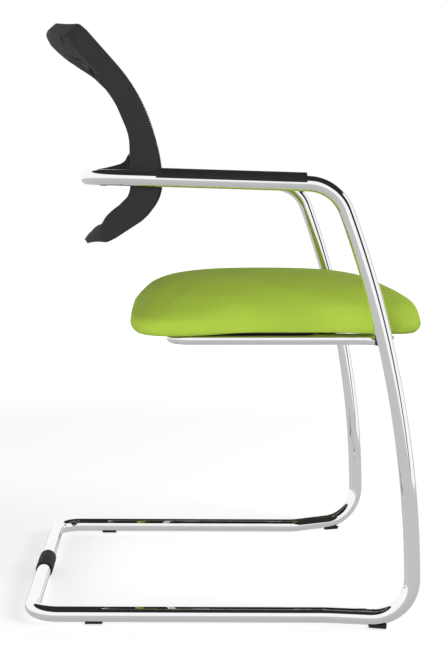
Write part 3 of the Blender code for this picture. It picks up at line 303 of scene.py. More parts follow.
def makeCloth():
    # threads that cross, also on faces that lean the other way, and fuzz over them
    s = looks["cloth"]
    cloth = Finish("seat cloth", s["colour"], s["roughness"], Sheen_Weight=s["sheen"],
                   Sheen_Roughness=s["sheenRoughness"], Sheen_Tint=s["sheenTint"])
    threads = [cloth.stripes(way, s["pitch"]) for way in s["threads"]]
    weave = cloth.maths("MULTIPLY", threads[0], threads[1])
    weave = cloth.maths("MAXIMUM", weave, cloth.maths("MULTIPLY", threads[2], threads[1]))
    fuzz = cloth.maths("MULTIPLY", cloth.noise(*s["fuzz"]), s["fuzzShare"])
    surface = cloth.maths("ADD", weave, fuzz)
    clouds = cloth.maths("MULTIPLY", cloth.noise(*s["clouds"]), s["cloudTone"])
    cloth.tint(cloth.maths("ADD", cloth.maths("MULTIPLY", surface, s["weaveTone"]), clouds), *s["tones"])
    cloth.bump(surface, *s["bump"])
    return cloth


def makeNetFinish():
    s = looks["net"]
    netting = Finish("back net", s["colour"], s["roughness"], Specular_IOR_Level=s["specular"])
    strands = netting.maths("MULTIPLY", *[netting.stripes(way, s["pitch"]) for way in s["threads"]])
    clouds = netting.maths("MULTIPLY", netting.noise(*s["clouds"]), s["cloudTone"])
    netting.tint(netting.maths("ADD", strands, clouds), *s["tones"])
    netting.bump(strands, *s["bump"])
    return netting


def makePlastic(plastic):
    s = looks["plastic"]
    middle = plastic["roughness"]
    moulded = Finish(plastic["name"], plastic["colour"], middle, Specular_IOR_Level=s["specular"])
    moulded.tint(moulded.noise(*s["clouds"]), *s["tones"])
    moulded.rough(moulded.noise(*s["patches"]), middle - s["smoother"], middle + s["rougher"])
    moulded.bump(moulded.cells(s["grain"]), *s["bump"])
    return moulded


def makeRubber():
    s = looks["rubber"]
    rubber = Finish("rubber", s["colour"], s["roughness"], Specular_IOR_Level=s["specular"])
    rubber.tint(rubber.noise(*s["clouds"]), *s["tones"])
    rubber.bump(rubber.noise(*s["grain"]), *s["bump"])
    return rubber


def makeMetal(metal):
    s = looks["metal"]
    middle = metal["roughness"]
    plain = Finish(metal["name"], metal["colour"], middle, 1.0)
    plain.tint(plain.noise(*s["clouds"]), *s["tones"])
    plain.rough(plain.noise(*s["patches"]), middle - s["smoother"], middle + s["rougher"])
    plain.bump(plain.noise(*s["grain"]), *s["bump"])
    return plain


def makePlywood():
    s = looks["plywood"]
    plywood = Finish("plywood", s["colour"], s["roughness"])
    plywood.tint(plywood.noise(*s["grain"]), *s["tones"])
    return plywood


def makeFoam():
    s = looks["foam"]
    foam = Finish("cut foam", s["colour"], s["roughness"])
    foam.tint(foam.cells(s["shades"]), *s["tones"])
    foam.bump(foam.cells(s["pores"]), *s["bump"])
    return foam


def makeFinishes():
    made = {"chrome": makeChrome(), "fabric": makeCloth(), "mesh": makeNetFinish(), "rubber": makeRubber(),
            "plywood": makePlywood(), "foam": makeFoam()}
    made.update({slot: makePlastic(plastic) for slot, plastic in plastics.items()})
    made.update({slot: makeMetal(metal) for slot, metal in metals.items()})
    return {slot: finish.material for slot, finish in made.items()}


finishes = makeFinishes()
print("chair: finishes made")


# bent steel tube

mainTube = {
    "radius": 0.011,
    "baseHalfWidth": 0.240, "baseRearY": 0.2765, "baseRearHeight": 0.0138, "baseCorner": 0.040,
    "kink": (-0.1362, 0.0118, 0.060),               # y, height, bend radius
    "toe": (0.2727, -0.2508, 0.0170, 0.058),        # x, y, height, bend radius
    "legRadius": 1.480, "legUprightHeight": 0.0668,
    "armHalfWidth": 0.268, "armFrontHeight": 0.6120, "armSlope": 0.0308, "shoulder": 0.058,
    "backBarY": 0.1975, "backBarCorner": 0.065,
    "joint": 0.00015,
    "legStart": 1.03,
    "legSteps": 60,
}
seatTube = {
    "radius": 0.008, "halfWidth": 0.215, "rearY": 0.0785, "height": 0.3938, "corner": 0.028,
}
bendStep = math.radians(2.5)


def roundCorners(corners):
    # a path through (point, radius) corners, with an arc at each
    points = [corners[0][0]]
    for (before, _), (corner, radius), (after, _) in zip(corners, corners[1:], corners[2:]):
        if not radius:
            points.append(corner)
            continue
        into, out = (corner - before).normalized(), (after - corner).normalized()
        turn = into.angle(out)
        centre = corner + (out - into).normalized() * (radius / math.cos(turn / 2))
        first = corner - into * radius * math.tan(turn / 2) - centre
        side = into.cross(out).normalized().cross(first)
        steps = max(3, math.ceil(turn / bendStep))
        points += [centre + first * math.cos(turn * i / steps) + side * math.sin(turn * i / steps)
                   for i in range(steps + 1)]
    return points + [corners[-1][0]]


def legPoint(height):
    s = mainTube
    angle = math.asin((height - s["legUprightHeight"]) / s["legRadius"])
    share = (height - s["toe"][2]) / (s["armFrontHeight"] - s["toe"][2])
    x = s["toe"][0] + (s["armHalfWidth"] - s["toe"][0]) * share
    return Vector((x, s["toe"][1] + s["legRadius"] * (1 - math.cos(angle)), height))


def armPoint(y):
    s = mainTube
    front = legPoint(s["armFrontHeight"])
    return Vector((s["armHalfWidth"], y, s["armFrontHeight"] + s["armSlope"] * (y - front.y)))


def bendReach(before, corner, after, radius):
    return radius * math.tan((corner - before).angle(after - corner) / 2)


def framePath():
    s = mainTube
    kink = Vector((s["baseHalfWidth"], s["kink"][0], s["kink"][1]))
    toe = Vector(s["toe"][:3])
    shoulder, rear = legPoint(s["armFrontHeight"]), armPoint(s["backBarY"])
    toeReach = bendReach(kink, toe, toe + Vector((0, 0, 1)), s["toe"][3])
    lean = shoulder - legPoint(s["armFrontHeight"] - s["shoulder"])
    shoulderReach = bendReach(shoulder - lean, shoulder, rear, s["shoulder"])
    low = toe.z + toeReach * s["legStart"]
    high = shoulder.z - shoulderReach * s["legStart"]
    steps = s["legSteps"]
    leg = [(legPoint(low + (high - low) * i / steps), 0) for i in range(steps + 1)]
    base = Vector((s["baseHalfWidth"], s["baseRearY"], s["baseRearHeight"]))
    return roundCorners(
        [(Vector((s["joint"], base.y, base.z)), 0), (base, s["baseCorner"])]
        + [(kink, s["kink"][2]), (toe, s["toe"][3])] + leg
        + [(shoulder, s["shoulder"]), (rear, s["backBarCorner"]), (Vector((s["joint"], rear.y, rear.z)), 0)])


def seatTubePath():
    s = seatTube
    leg = legPoint(s["height"])
    half = [
        (leg, 0),
        (Vector((s["halfWidth"], leg.y, s["height"])), s["corner"]),
        (Vector((s["halfWidth"], s["rearY"], s["height"])), s["corner"]),
    ]
    return roundCorners(half + [(mirrored(point, -1), radius) for point, radius in half[::-1]])


def sweptTube(name, points, radius, roundness=14):
    curve = bpy.data.curves.new(name, "CURVE")
    curve.dimensions = "3D"
    curve.bevel_depth = radius
    curve.bevel_resolution = roundness
    curve.use_fill_caps = True
    spline = curve.splines.new("POLY")
    spline.points.add(len(points) - 1)
    for knot, point in zip(spline.points, points):
        knot.co = (*point, 1)
    holder = bpy.data.objects.new(name, curve)
    scene.collection.objects.link(holder)
    graph = bpy.context.evaluated_depsgraph_get()
    mesh = bpy.data.meshes.new_from_object(holder.evaluated_get(graph))
    bpy.data.objects.remove(holder)
    bm = bmesh.new()
    bm.from_mesh(mesh)
    bmesh.ops.remove_doubles(bm, verts=bm.verts, dist=mergeWithin["copies"])
    return meshFrom(name, bm, 50)


def makeTubes():
    path = framePath()
    for name, side in (("left", 1), ("right", -1)):
        mesh = sweptTube("bentTube_" + name, [mirrored(point, side) for point in path], mainTube["radius"])
        addPiece("bent_tube_" + name, mesh, "chrome", ["frame_tube_" + name])
    mesh = sweptTube("seatTube", seatTubePath(), seatTube["radius"])
    addPiece("seat_tube", mesh, "chrome", ["seat_support_tube"])


makeTubes()


weld = {
    "bead": 0.0016, "spread": 0.0006, "ripples": 26, "ripple": 0.00025, "flatness": 0.8,
    "columns": 104, "rows": 10,
}


def makeWelds():
    # a fillet of weld where each end of the seat tube meets its leg
    s = seatTube
    for name, side in (("left", 1), ("right", -1)):
        leg = mirrored(legPoint(s["height"]), side)

        def place(u, v):
            turn = 2 * math.pi * u
            size = weld["bead"] + weld["ripple"] * math.sin(weld["ripples"] * turn)
            ring = s["radius"] + weld["spread"] + size * math.cos(2 * math.pi * v) * weld["flatness"]
            y, z = ring * math.cos(turn), ring * math.sin(turn)
            out = math.sqrt(max(mainTube["radius"] ** 2 - y * y, 0))
            x = -side * (out + size * 0.5 + size * math.sin(2 * math.pi * v))
            return leg + Vector((x, y, z))

        bm = bentGrid(weld["columns"], weld["rows"], place)
        addPiece("weld_" + name, meshFrom("weld", bm), "chrome")


makeWelds()
print("chair: tubes bent")


# rubber sleeve

sleeve = {"inner": 0.0114, "outer": 0.0132, "halfLength": 0.034, "edge": 0.0016, "steps": 72, "edgeSteps": 4}


def makeSleeve():
    s = sleeve
    centre = Vector((0, mainTube["baseRearY"], mainTube["baseRearHeight"]))
    profile = [(s["inner"], -s["halfLength"]), (s["inner"], s["halfLength"]),
               (s["outer"], s["halfLength"]), (s["outer"], -s["halfLength"])]
    bm = bmesh.new()
    ring = [bm.verts.new(centre + Vector((x, 0, radius))) for radius, x in profile]
    face = bm.faces.new(ring)
    bmesh.ops.spin(bm, geom=[face, *face.edges, *face.verts], cent=centre, axis=(1, 0, 0),
                   angle=2 * math.pi, steps=s["steps"], use_merge=True, use_duplicate=False)
    bmesh.ops.remove_doubles(bm, verts=bm.verts, dist=mergeWithin["copies"])
    # the spun section itself stays inside as a face, and goes
    inside = [f for f in bm.faces if abs(f.normal.x) < 0.01 and len(f.verts) == 4
              and abs(f.normal.dot((f.calc_center_median() - centre).normalized())) < 0.5]
    bmesh.ops.delete(bm, geom=inside, context="FACES_ONLY")
    rims = [edge for edge in bm.edges if len(edge.link_faces) == 2 and edge.calc_face_angle(0) > 1.2
            and (edge.verts[0].co - centre).yz.length > s["outer"] - 0.0002]
    bmesh.ops.bevel(bm, geom=rims, offset=s["edge"], segments=s["edgeSteps"], affect="EDGES", profile=0.5,
                    material=-1)
    addPiece("rubber_sleeve", meshFrom("rubberSleeve", bm, 60), "rubber", ["base_sleeve"])


makeSleeve()


# seat pad

seat = {
    "halfWidth": 0.235, "frontY": -0.2885, "rearY": 0.1425, "bottom": 0.4054,
    # how square the outline is low down, along the rear's top edge and on the crown, and where each sets in
    "squareness": 6.3, "rearSquareness": 3.3, "crownSquareness": 2.6,
    "rearTurn": (-0.5, 0.5), "rearRise": (0.008, 0.042), "crownInset": (0.03, 0.20),
    "frontLip": (0.20, 0.85), "rearLip": (0.10, 0.65), "sideLip": 0.05,
    "sideFullness": 0.25, "sideEnds": (0.5, 0.9),
    "boardInset": 0.0237, "boardTop": 0.0126, "margin": 0.038, "fabric": 0.0010,
    "middle": 0.2150,               # the innermost ring's inset, just short of the pad's centre line
    "bearings": 220, "rows": 66, "cornerPower": 0.62,
}
drawnCloth = {
    "shrink": 0.0015, "looseFrom": (0.001, 0.012), "underside": -0.6,
    "quality": 6, "mass": 0.3, "tension": 25, "compression": 12, "bending": 2.0, "pressure": 4.0,
    "frames": 20, "cap": 0.0024, "evening": 14,
}
# inset from the outline and height over the turned-in cloth, for the front edge and for the rear
edgeFront = (
    (0.0170, 0.0000), (0.0120, -0.0060), (0.0070, -0.0040), (0.0025, 0.0025), (0.0000, 0.0101),
    (0.0007, 0.0185), (0.0032, 0.0262), (0.0083, 0.0353), (0.0159, 0.0420), (0.0302, 0.0493),
    (0.0578, 0.0574), (0.0985, 0.0650), (0.1490, 0.0700), (0.2150, 0.0724),
)
edgeRear = (
    (0.0180, 0.0000), (0.0120, -0.0076), (0.0048, -0.0028), (0.0005, 0.0071), (0.0000, 0.0178),
    (0.0043, 0.0256), (0.0094, 0.0325), (0.0162, 0.0394), (0.0235, 0.0448), (0.0340, 0.0510),
    (0.0597, 0.0600), (0.0980, 0.0666), (0.1470, 0.0701), (0.2150, 0.0724),
)


def seatSpot(bearing, inset, height):
    s = seat
    sine = math.sin(bearing)
    power = s["squareness"]
    power += (s["rearSquareness"] - power) * ease(sine, *s["rearTurn"]) * ease(height, *s["rearRise"])
    power += (s["crownSquareness"] - power) * ease(inset, *s["crownInset"])
    middle, halfLength = (s["frontY"] + s["rearY"]) / 2, (s["rearY"] - s["frontY"]) / 2
    reach = (abs(math.cos(bearing) / max(s["halfWidth"] - inset, 1e-4)) ** power
             + abs(sine / max(halfLength - inset, 1e-4)) ** power) ** (-1 / power)
    return Vector((reach * math.cos(bearing), middle + reach * sine, s["bottom"] + height))


def seatEdge(bearing, t):
    # the edge of the pad at share t of its profile, as (inset, height)
    s = seat
    sine = math.sin(bearing)
    deep = ease(sine, *s["rearLip"]) if sine > 0 else ease(-sine, *s["frontLip"])
    lip = s["sideLip"] + (1 - s["sideLip"]) * deep
    fullness = s["sideFullness"] * (1 - ease(abs(sine), *s["sideEnds"]))
    inset, height = along(edgeFront, t).lerp(along(edgeRear, t), ease(sine, -1, 1))
    if height <= 0:
        inset, height = inset * (1 - fullness), height * lip
    return inset, height


def makeSeat():
    s = seat
    underside = [  # from the middle of the pocket for the board to the edge of the turned-in cloth
        (s["middle"], s["boardTop"]), (0.1200, s["boardTop"]), (s["boardInset"], s["boardTop"]),
        (s["boardInset"], s["fabric"]), (s["margin"], s["fabric"]), (s["margin"], 0.0),
    ]

    def place(u, v):
        bearing = 2 * math.pi * u
        # more columns at the corners
        x, y = math.cos(bearing), math.sin(bearing)
        power = s["cornerPower"]
        bearing = math.atan2(math.copysign(abs(y) ** power, y), math.copysign(abs(x) ** power, x))
        row = round(v * s["rows"])
        if row < len(underside):
            return seatSpot(bearing, *underside[row])
        t = (row - len(underside)) / (s["rows"] - len(underside))
        return seatSpot(bearing, *seatEdge(bearing, t))

    bm = bentGrid(s["bearings"], s["rows"], place)
    closeEnds(bm)
    for tip in [f for f in bm.faces if len(f.verts) > 8]:
        bmesh.ops.poke(bm, faces=[tip])
    pad = addPiece("seat_pad", meshFrom("seatPad", bm, 180), "fabric", ["seat_cover", "seat_foam"])
    return pad


def inflate(pad):
    # the cloth over the foam starts a little small, is blown up, and is held at its turned-in edge
    s = drawnCloth
    mesh = pad.data
    normals = [Vector(v.normal) for v in mesh.vertices]
    held = pad.vertex_groups.new(name="held")
    rest = []
    for vert, normal in zip(mesh.vertices, normals):
        height = vert.co.z - seat["bottom"]
        loose = ease(height, *s["looseFrom"]) if normal.z > s["underside"] else 0.0
        vert.co -= normal * s["shrink"] * loose
        held.add([vert.index], 1.0 - loose, "REPLACE")
        rest.append(vert.co.copy())
    cloth = pad.modifiers.new("drawn cloth", "CLOTH")
    cloth.settings.quality = s["quality"]
    cloth.settings.mass = s["mass"]
    cloth.settings.tension_stiffness = s["tension"]
    cloth.settings.compression_stiffness = s["compression"]
    cloth.settings.bending_stiffness = s["bending"]
    cloth.settings.use_pressure = True
    cloth.settings.uniform_pressure_force = s["pressure"]
    cloth.settings.vertex_group_mass = "held"
    cloth.settings.effector_weights.gravity = 0
    cloth.collision_settings.use_collision = False
    for step in range(1, s["frames"] + 1):
        scene.frame_set(step)
    graph = bpy.context.evaluated_depsgraph_get()
    shaped = [v.co.copy() for v in pad.evaluated_get(graph).data.vertices]
    pad.modifiers.clear()
    scene.frame_set(1)
    moves = [spot - start for spot, start in zip(shaped, rest)]
    most = max(move.length for move in moves)
    moves = [move * min(1.0, s["cap"] / max(move.length, 1e-9)) for move in moves]
    # the foam behind the cloth evens out its creases
    for _ in range(s["evening"]):
        sums, counts = [move.copy() for move in moves], [1] * len(moves)
        for edge in mesh.edges:
            first, last = edge.vertices
            for one, other in ((first, last), (last, first)):
                sums[one] += moves[other]
                counts[one] += 1
        moves = [total / count for total, count in zip(sums, counts)]
    for vert, start, move in zip(mesh.vertices, rest, moves):
        vert.co = start + move
    print("chair: seat pad moved by up to", round(most * 1000, 2), "mm")
    pad.vertex_groups.clear()
    mesh.update()


tray = {
    "bottom": -0.0033, "top": -0.0006, "edge": 0.0006, "clear": 0.0004,
    "frontInset": 0.0245, "cutBack": (0.10, 0.16), "bearings": 240,
}


def makeTray():
    # the black cover under the seat comes out to the foot of the turned-in cloth, and is cut back in front
    s = tray
    middle, edge = seat["middle"], s["edge"]
    lower = [(middle, 0.0), (0.06, 0.0), (0.006, 0.0), (edge, 0.0), (0.0, 0.25)]
    section = lower + [(inset, 1.0 - up) for inset, up in lower[::-1]]
    count = len(section) - 1

    def place(u, v):
        bearing = 2 * math.pi * u
        foot = seatEdge(bearing, 0)[0] + s["clear"]
        y = seatSpot(bearing, foot, 0).y
        inset = foot + (s["frontInset"] - foot) * ease(-y, *s["cutBack"])
        further, up = section[round(v * count)]
        further = min(further, middle - inset)
        return seatSpot(bearing, inset + further, s["bottom"] + (s["top"] - s["bottom"]) * up)

    bm = bentGrid(s["bearings"], count, place)
    closeEnds(bm)
    addPiece("seat_tray", meshFrom("seatTray", bm), "black_plastic", ["seat_under_cover"])


makeTray()
seatPad = makeSeat()
inflate(seatPad)
print("chair: seat pad made")


# back: net, moulded frame and bracket

back = {
    "waistY": 0.0935, "waistHeight": 0.6158,
    "upperRadius": 0.250, "upperLean": math.radians(41.5),
    "lowerRadius": 0.070, "lowerLean": math.radians(57),
    "halfWidth": 0.215, "top": 0.3096, "topArch": 0.0523, "bottom": -0.1600, "bottomArch": 0.0395,
    "topRoundness": 0.42, "bottomRoundness": 3.0, "corner": 0.0145,
    "hollow": 0.049, "lostAbove": 0.026, "lostBelow": 0.034,
    "powerAbove": 0.66, "powerBelow": 1.8, "waist": 0.020,
}
net = {
    "columns": 80, "rows": 100, "thickness": 0.0013, "thread": 0.00092, "skirt": 0.0042, "zigzag": 0.16,
    "hem": 0.0012,
    # the blank, before it was stretched over the frame and turned back round it
    "flat": (0.455, 0.482), "area": 0.2024,
}
rail = {
    "face": 0.0022, "edge": 0.0030, "outside": 0.0002, "rim": 0.0009, "rimInside": 0.0022,
    # where the rim stands proud and hides the net's edge
    "proud": 0.0012, "proudAbove": (0.10, 0.15), "proudBelow": (0.08, 0.11),
    "rimRound": 0.0008, "rimFoot": 0.0004,
    "width": 0.0135, "depth": 0.009, "bottomWidth": 0.016, "bottomDepth": 0.0062,
    "gripWidth": 0.0755, "gripDepth": 0.0240, "gripFull": 0.060, "gripEnd": 0.195, "bottomFull": 0.080,
    # the side walls' depth as a share of the sheet's hollow, and where that share is greater
    "wallShare": 0.85, "wallShareRise": 0.10, "wallRise": (0.06, 0.12), "wallFall": (0.14, 0.18),
    "wallSteady": 0.200,            # above this the walls no longer grow shallower
    "flare": 0.0032, "flareStart": (0.0, 0.03), "flareEnd": (0.045, 0.09),      # towards the bracket
    "lowFlare": 0.0015, "lowStart": (0.060, 0.095), "lowEnd": (0.105, 0.130),
    "chamfer": 0.0085, "chamferFrom": 0.5, "chamferRange": (0.060, 0.100),      # along the walls' lower ends
    "stations": 420,                # round the edge, spread evenly over a line of fine points
    "finePoints": 400,
}
# each point is (share of the width, share of the depth), for the plain rail and for the grip
railSection = ((1.0, 0.0), (1.0, 0.20), (1.0, 0.45), (0.92, 0.85), (0.78, 1.0), (0.40, 1.0))
gripSection = ((1.34, 0.0), (1.08, 0.03), (0.967, 0.09), (0.784, 0.50), (0.60, 0.81), (0.26, 1.0))
railLip = ((0.0, 0.92), (0.0, 0.85))
gripLip = ((0.063, 0.86), (0.0, 0.57))
# inset and share of the depth of a side wall, from its foot over its rim to the groove
wallSection = (
    (0.0048, 0.0), (0.0042, 0.08), (0.0039, 0.30), (0.0036, 0.65), (0.0034, 0.93), (0.0030, 0.985),
    (0.0021, 1.0), (0.0010, 0.985), (0.0004, 0.93), (0.0002, 0.65), (0.0002, 0.30),
)


def leanAt(w):
    # w runs along the sheet, up from its waist
    if w > 0:
        return min(w / back["upperRadius"], back["upperLean"])
    return max(w / back["lowerRadius"], -back["lowerLean"])


def hollowAt(w):
    s = back
    if w > 0:
        started = math.hypot(w, s["waist"]) - s["waist"]
        return s["hollow"] - s["lostAbove"] * (started / s["top"]) ** s["powerAbove"]
    return s["hollow"] - s["lostBelow"] * (w / s["bottom"]) ** s["powerBelow"]


def backPoint(x, w, depth):
    # across, along the sheet from its waist, and behind its front face
    s = back
    lean = leanAt(w)
    radius = s["upperRadius"] if w > 0 else s["lowerRadius"]
    straight = w - lean * radius
    y = s["waistY"] + radius * (1 - math.cos(lean)) + straight * math.sin(lean)
    z = s["waistHeight"] + radius * math.sin(lean) + straight * math.cos(lean)
    behind = depth + hollowAt(w) * (1 - (x / s["halfWidth"]) ** 2)
    return Vector((x, y + behind * math.cos(lean), z - behind * math.sin(lean)))


def cornerDrop(x):
    past = abs(x) - (back["halfWidth"] - back["corner"])
    return 0.0 if past <= 0 else back["corner"] - math.sqrt(max(back["corner"] ** 2 - past ** 2, 0.0))


def arch(x, roundness):
    rise = math.hypot(x / back["halfWidth"], roundness) - roundness
    return rise / (math.hypot(1, roundness) - roundness)


def topEdge(x):
    return back["top"] - back["topArch"] * arch(x, back["topRoundness"]) - cornerDrop(x)


def bottomEdge(x):
    return back["bottom"] + back["bottomArch"] * arch(x, back["bottomRoundness"]) + cornerDrop(x)


def outline(count):
    # even steps round the edge of the sheet, each with its inward direction
    half = back["halfWidth"]
    fine = rail["finePoints"]
    xs = [half * math.sin(math.pi * (i / fine - 0.5)) for i in range(fine + 1)]
    line = [Vector((x, bottomEdge(x))) for x in xs]
    low, high = bottomEdge(half), topEdge(half)
    line += [Vector((half, low + (high - low) * i / fine)) for i in range(1, fine)]
    line += [Vector((x, topEdge(x))) for x in xs[::-1]]
    line += [Vector((-half, high + (low - high) * i / fine)) for i in range(1, fine)]
    lengths = [0.0]
    for a, b in zip(line, line[1:] + line[:1]):
        lengths.append(lengths[-1] + (b - a).length)
    stations, i = [], 0
    for k in range(count):
        goal = lengths[-1] * k / count
        while lengths[i + 1] < goal:
            i += 1
        a, b = line[i % len(line)], line[(i + 1) % len(line)]
        stations.append(a.lerp(b, (goal - lengths[i]) / max(lengths[i + 1] - lengths[i], 1e-9)))
    found = []
    for k, place in enumerate(stations):
        way = (stations[(k + 1) % count] - stations[k - 1]).normalized()
        found.append((place, Vector((-way.y, way.x))))
    return found


def wallDepth(w):
    rise = ease(w, *rail["wallRise"]) * (1 - ease(w, *rail["wallFall"]))
    flare = ease(w, *rail["flareStart"]) * (1 - ease(w, *rail["flareEnd"]))
    low = ease(-w, *rail["lowStart"]) * (1 - ease(-w, *rail["lowEnd"]))
    share = rail["wallShare"] + rail["wallShareRise"] * rise
    return hollowAt(min(w, rail["wallSteady"])) * share + rail["flare"] * flare + rail["lowFlare"] * low


def frameSection(place):
    # (inset, depth) from the frame's front face round its back to the rim that holds the net
    s = rail
    grip = bottom = 0.0
    if place.y >= topEdge(back["halfWidth"]):
        grip = 1 - ease(abs(place.x), s["gripFull"], s["gripEnd"])
    if place.y < bottomEdge(back["halfWidth"]):
        bottom = 1 - ease(abs(place.x), s["bottomFull"], back["halfWidth"] - back["corner"])
    width = s["width"] + (s["gripWidth"] - s["width"]) * grip + (s["bottomWidth"] - s["width"]) * bottom
    depth = s["depth"] + (s["gripDepth"] - s["depth"]) * grip + (s["bottomDepth"] - s["depth"]) * bottom
    lip = s["outside"]
    rim = s["rim"] - s["proud"] * max(ease(place.y, *s["proudAbove"]), ease(-place.y, *s["proudBelow"]))

    def between(start, plain, swell):
        inset, up = Vector(plain).lerp(Vector(swell), grip)
        return Vector((start + width * inset, s["face"] + depth * up))

    points = [(s["edge"], s["face"])] + [tuple(between(0, *pair)) for pair in zip(railSection, gripSection)]
    lips = [between(lip, *pair) for pair in zip(railLip, gripLip)]
    rear, foot = Vector(points[-1]), s["face"] + depth
    wall = (1 - grip) * (1 - bottom)
    chamfer = s["chamfer"] * ease(-place.y, *s["chamferRange"])
    for i, (inset, up) in enumerate(wallSection):
        inset += chamfer * max(up - s["chamferFrom"], 0.0) / (1 - s["chamferFrom"])
        plain = along([rear, *lips], (i + 1) / len(wallSection))
        raised = Vector((inset, foot + (wallDepth(place.y) - foot) * up))
        points.append(tuple(plain.lerp(raised, wall)))
    low = rim + s["rimRound"]
    side = [(lip, low + (points[-1][1] - low) * up) for up in (0.5, 0.2, 0.0)]
    inside = (s["rimInside"] + s["rimFoot"], s["face"])
    return points + side + [(s["rimRound"], rim), (s["rimInside"], rim), inside]


def makeBackFrame():
    count = rail["stations"]
    stations = outline(count)
    sections = [frameSection(place) for place, _ in stations]
    size = len(sections[0])

    def place(u, v):
        k = round(u * count) % count
        i = round(v * size) % size
        spot, inward = stations[k]
        inset, depth = sections[k][i]
        spot = spot + inward * inset
        return backPoint(spot.x, spot.y, depth)

    mesh = meshFrom("backFrame", bentGrid(count, size, place), 30)
    piece = addPiece("moulded_back", mesh, "grey_black_plastic", ["back_frame", "mesh_retainer"])
    subdivide(piece, 1)
    applyModifiers(piece)


web = {
    "columns": 48, "rows": 26, "outer": 0.0026, "inner": 0.140, "top": 0.0008, "height": 0.064,
    "sideWidth": 0.036, "footWidth": 0.015, "grows": (0.135, 0.215), "blend": 2.2, "depth": 0.0240,
    # the height of the hollow curve across the web, and of the lip at its top edge
    "profile": ((0.0, 1.0), (0.26, 1.0), (0.60, 0.81), (0.784, 0.50), (0.967, 0.07), (1.0, 0.0)),
    "lip": ((0.0, 0.57), (0.063, 0.86), (0.26, 1.0), (1.0, 1.0)),
    "crowding": (1.5, 1.3),         # of the columns towards the side, and of the rows towards the top
    "below": 0.02, "halvings": 24,  # the web's end is looked for from so far under where it grows
}


def makeWebs():
    # at each end the grip runs out into the side wall in a wide hollow curve
    s = web

    def share(inset, w, top):
        # 0 at the frame's edge, 1 where the web ends
        sideWidth = s["footWidth"] + s["sideWidth"] * ease(w, *s["grows"])
        fromTop, fromSide = (top - w) / s["height"], inset / sideWidth
        return (fromTop ** -s["blend"] + fromSide ** -s["blend"]) ** (-1 / s["blend"])

    def rise(points, t):
        for (low, first), (high, second) in zip(points, points[1:]):
            if t <= high:
                return first + (second - first) * (t - low) / (high - low)
        return points[-1][1]

    for name, side in (("left", 1), ("right", -1)):
        def place(u, v):
            inset = s["outer"] + (s["inner"] - s["outer"]) * u ** s["crowding"][0]
            x = back["halfWidth"] - inset
            top = topEdge(x)
            high, low = top - s["top"], s["grows"][0] - s["below"]
            start, end = low, high
            # the web's lower end, by halving
            for _ in range(s["halvings"]):
                middle = (start + end) / 2
                start, end = (start, middle) if share(inset, middle, top) < 1 else (middle, end)
            across = (2 * v if v < 0.5 else 2 - 2 * v) ** s["crowding"][1]
            w = high + (end - high) * across
            up = rise(s["profile"], share(inset, w, top)) * rise(s["lip"], (top - w) / s["height"])
            depth = rail["face"] + (s["depth"] * up if v < 0.5 else 0.0)
            return backPoint(side * x, w, depth)

        bm = bentGrid(s["columns"], 2 * s["rows"], place)
        closeEnds(bm)
        addPiece("grip_web_" + name, meshFrom("gripWeb", bm, 60), "grey_black_plastic")


# a dark plug whose darker plastic is painted shade for the recess of a slot in the grip
slotShade = {
    "x": 0.166, "inset": 0.0085, "halfWidth": 0.0045, "halfLength": 0.0062, "proud": 0.0015, "sunk": 0.0015,
    "squareness": 0.5, "flatness": 8, "columns": 40, "rows": 12,
    "clear": 0.060,                 # the surface is looked for from so far behind the sheet
}


def makeSlotShades():
    # a small dark plug near each end of the grip, lying on its surface: painted shade standing in for the
    # shaded recess of a slot there
    s = slotShade
    graph = bpy.context.evaluated_depsgraph_get()
    trees = [BVHTree.FromObject(bpy.data.objects[name], graph)
             for name in ("moulded_back", "grip_web_left", "grip_web_right")]
    for name, side in (("left", 1), ("right", -1)):
        def place(u, v):
            turn, reach = 2 * math.pi * u, math.sin(math.pi * v)
            circle = (math.cos(turn), math.sin(turn))
            across, up = (math.copysign(abs(f) ** s["squareness"], f) for f in circle)
            x = s["x"] + s["halfWidth"] * reach * across
            w = topEdge(s["x"]) - s["inset"] + s["halfLength"] * reach * up
            start = backPoint(side * x, w, s["clear"])
            way = (backPoint(side * x, w, 0.0) - start).normalized()
            found = [tree.ray_cast(start, way)[3] for tree in trees]
            surface = start + way * min(far for far in found if far is not None)
            lift = s["proud"] if v < 0.5 else -s["sunk"]
            return surface - way * lift * (1 - reach ** s["flatness"])

        bm = bentGrid(s["columns"], s["rows"], place)
        # the darker plastic here is painted shade for the slot's recess
        addPiece("grip_slot_shade_" + name, meshFrom("gripSlotShade", bm, 60), "black_plastic")


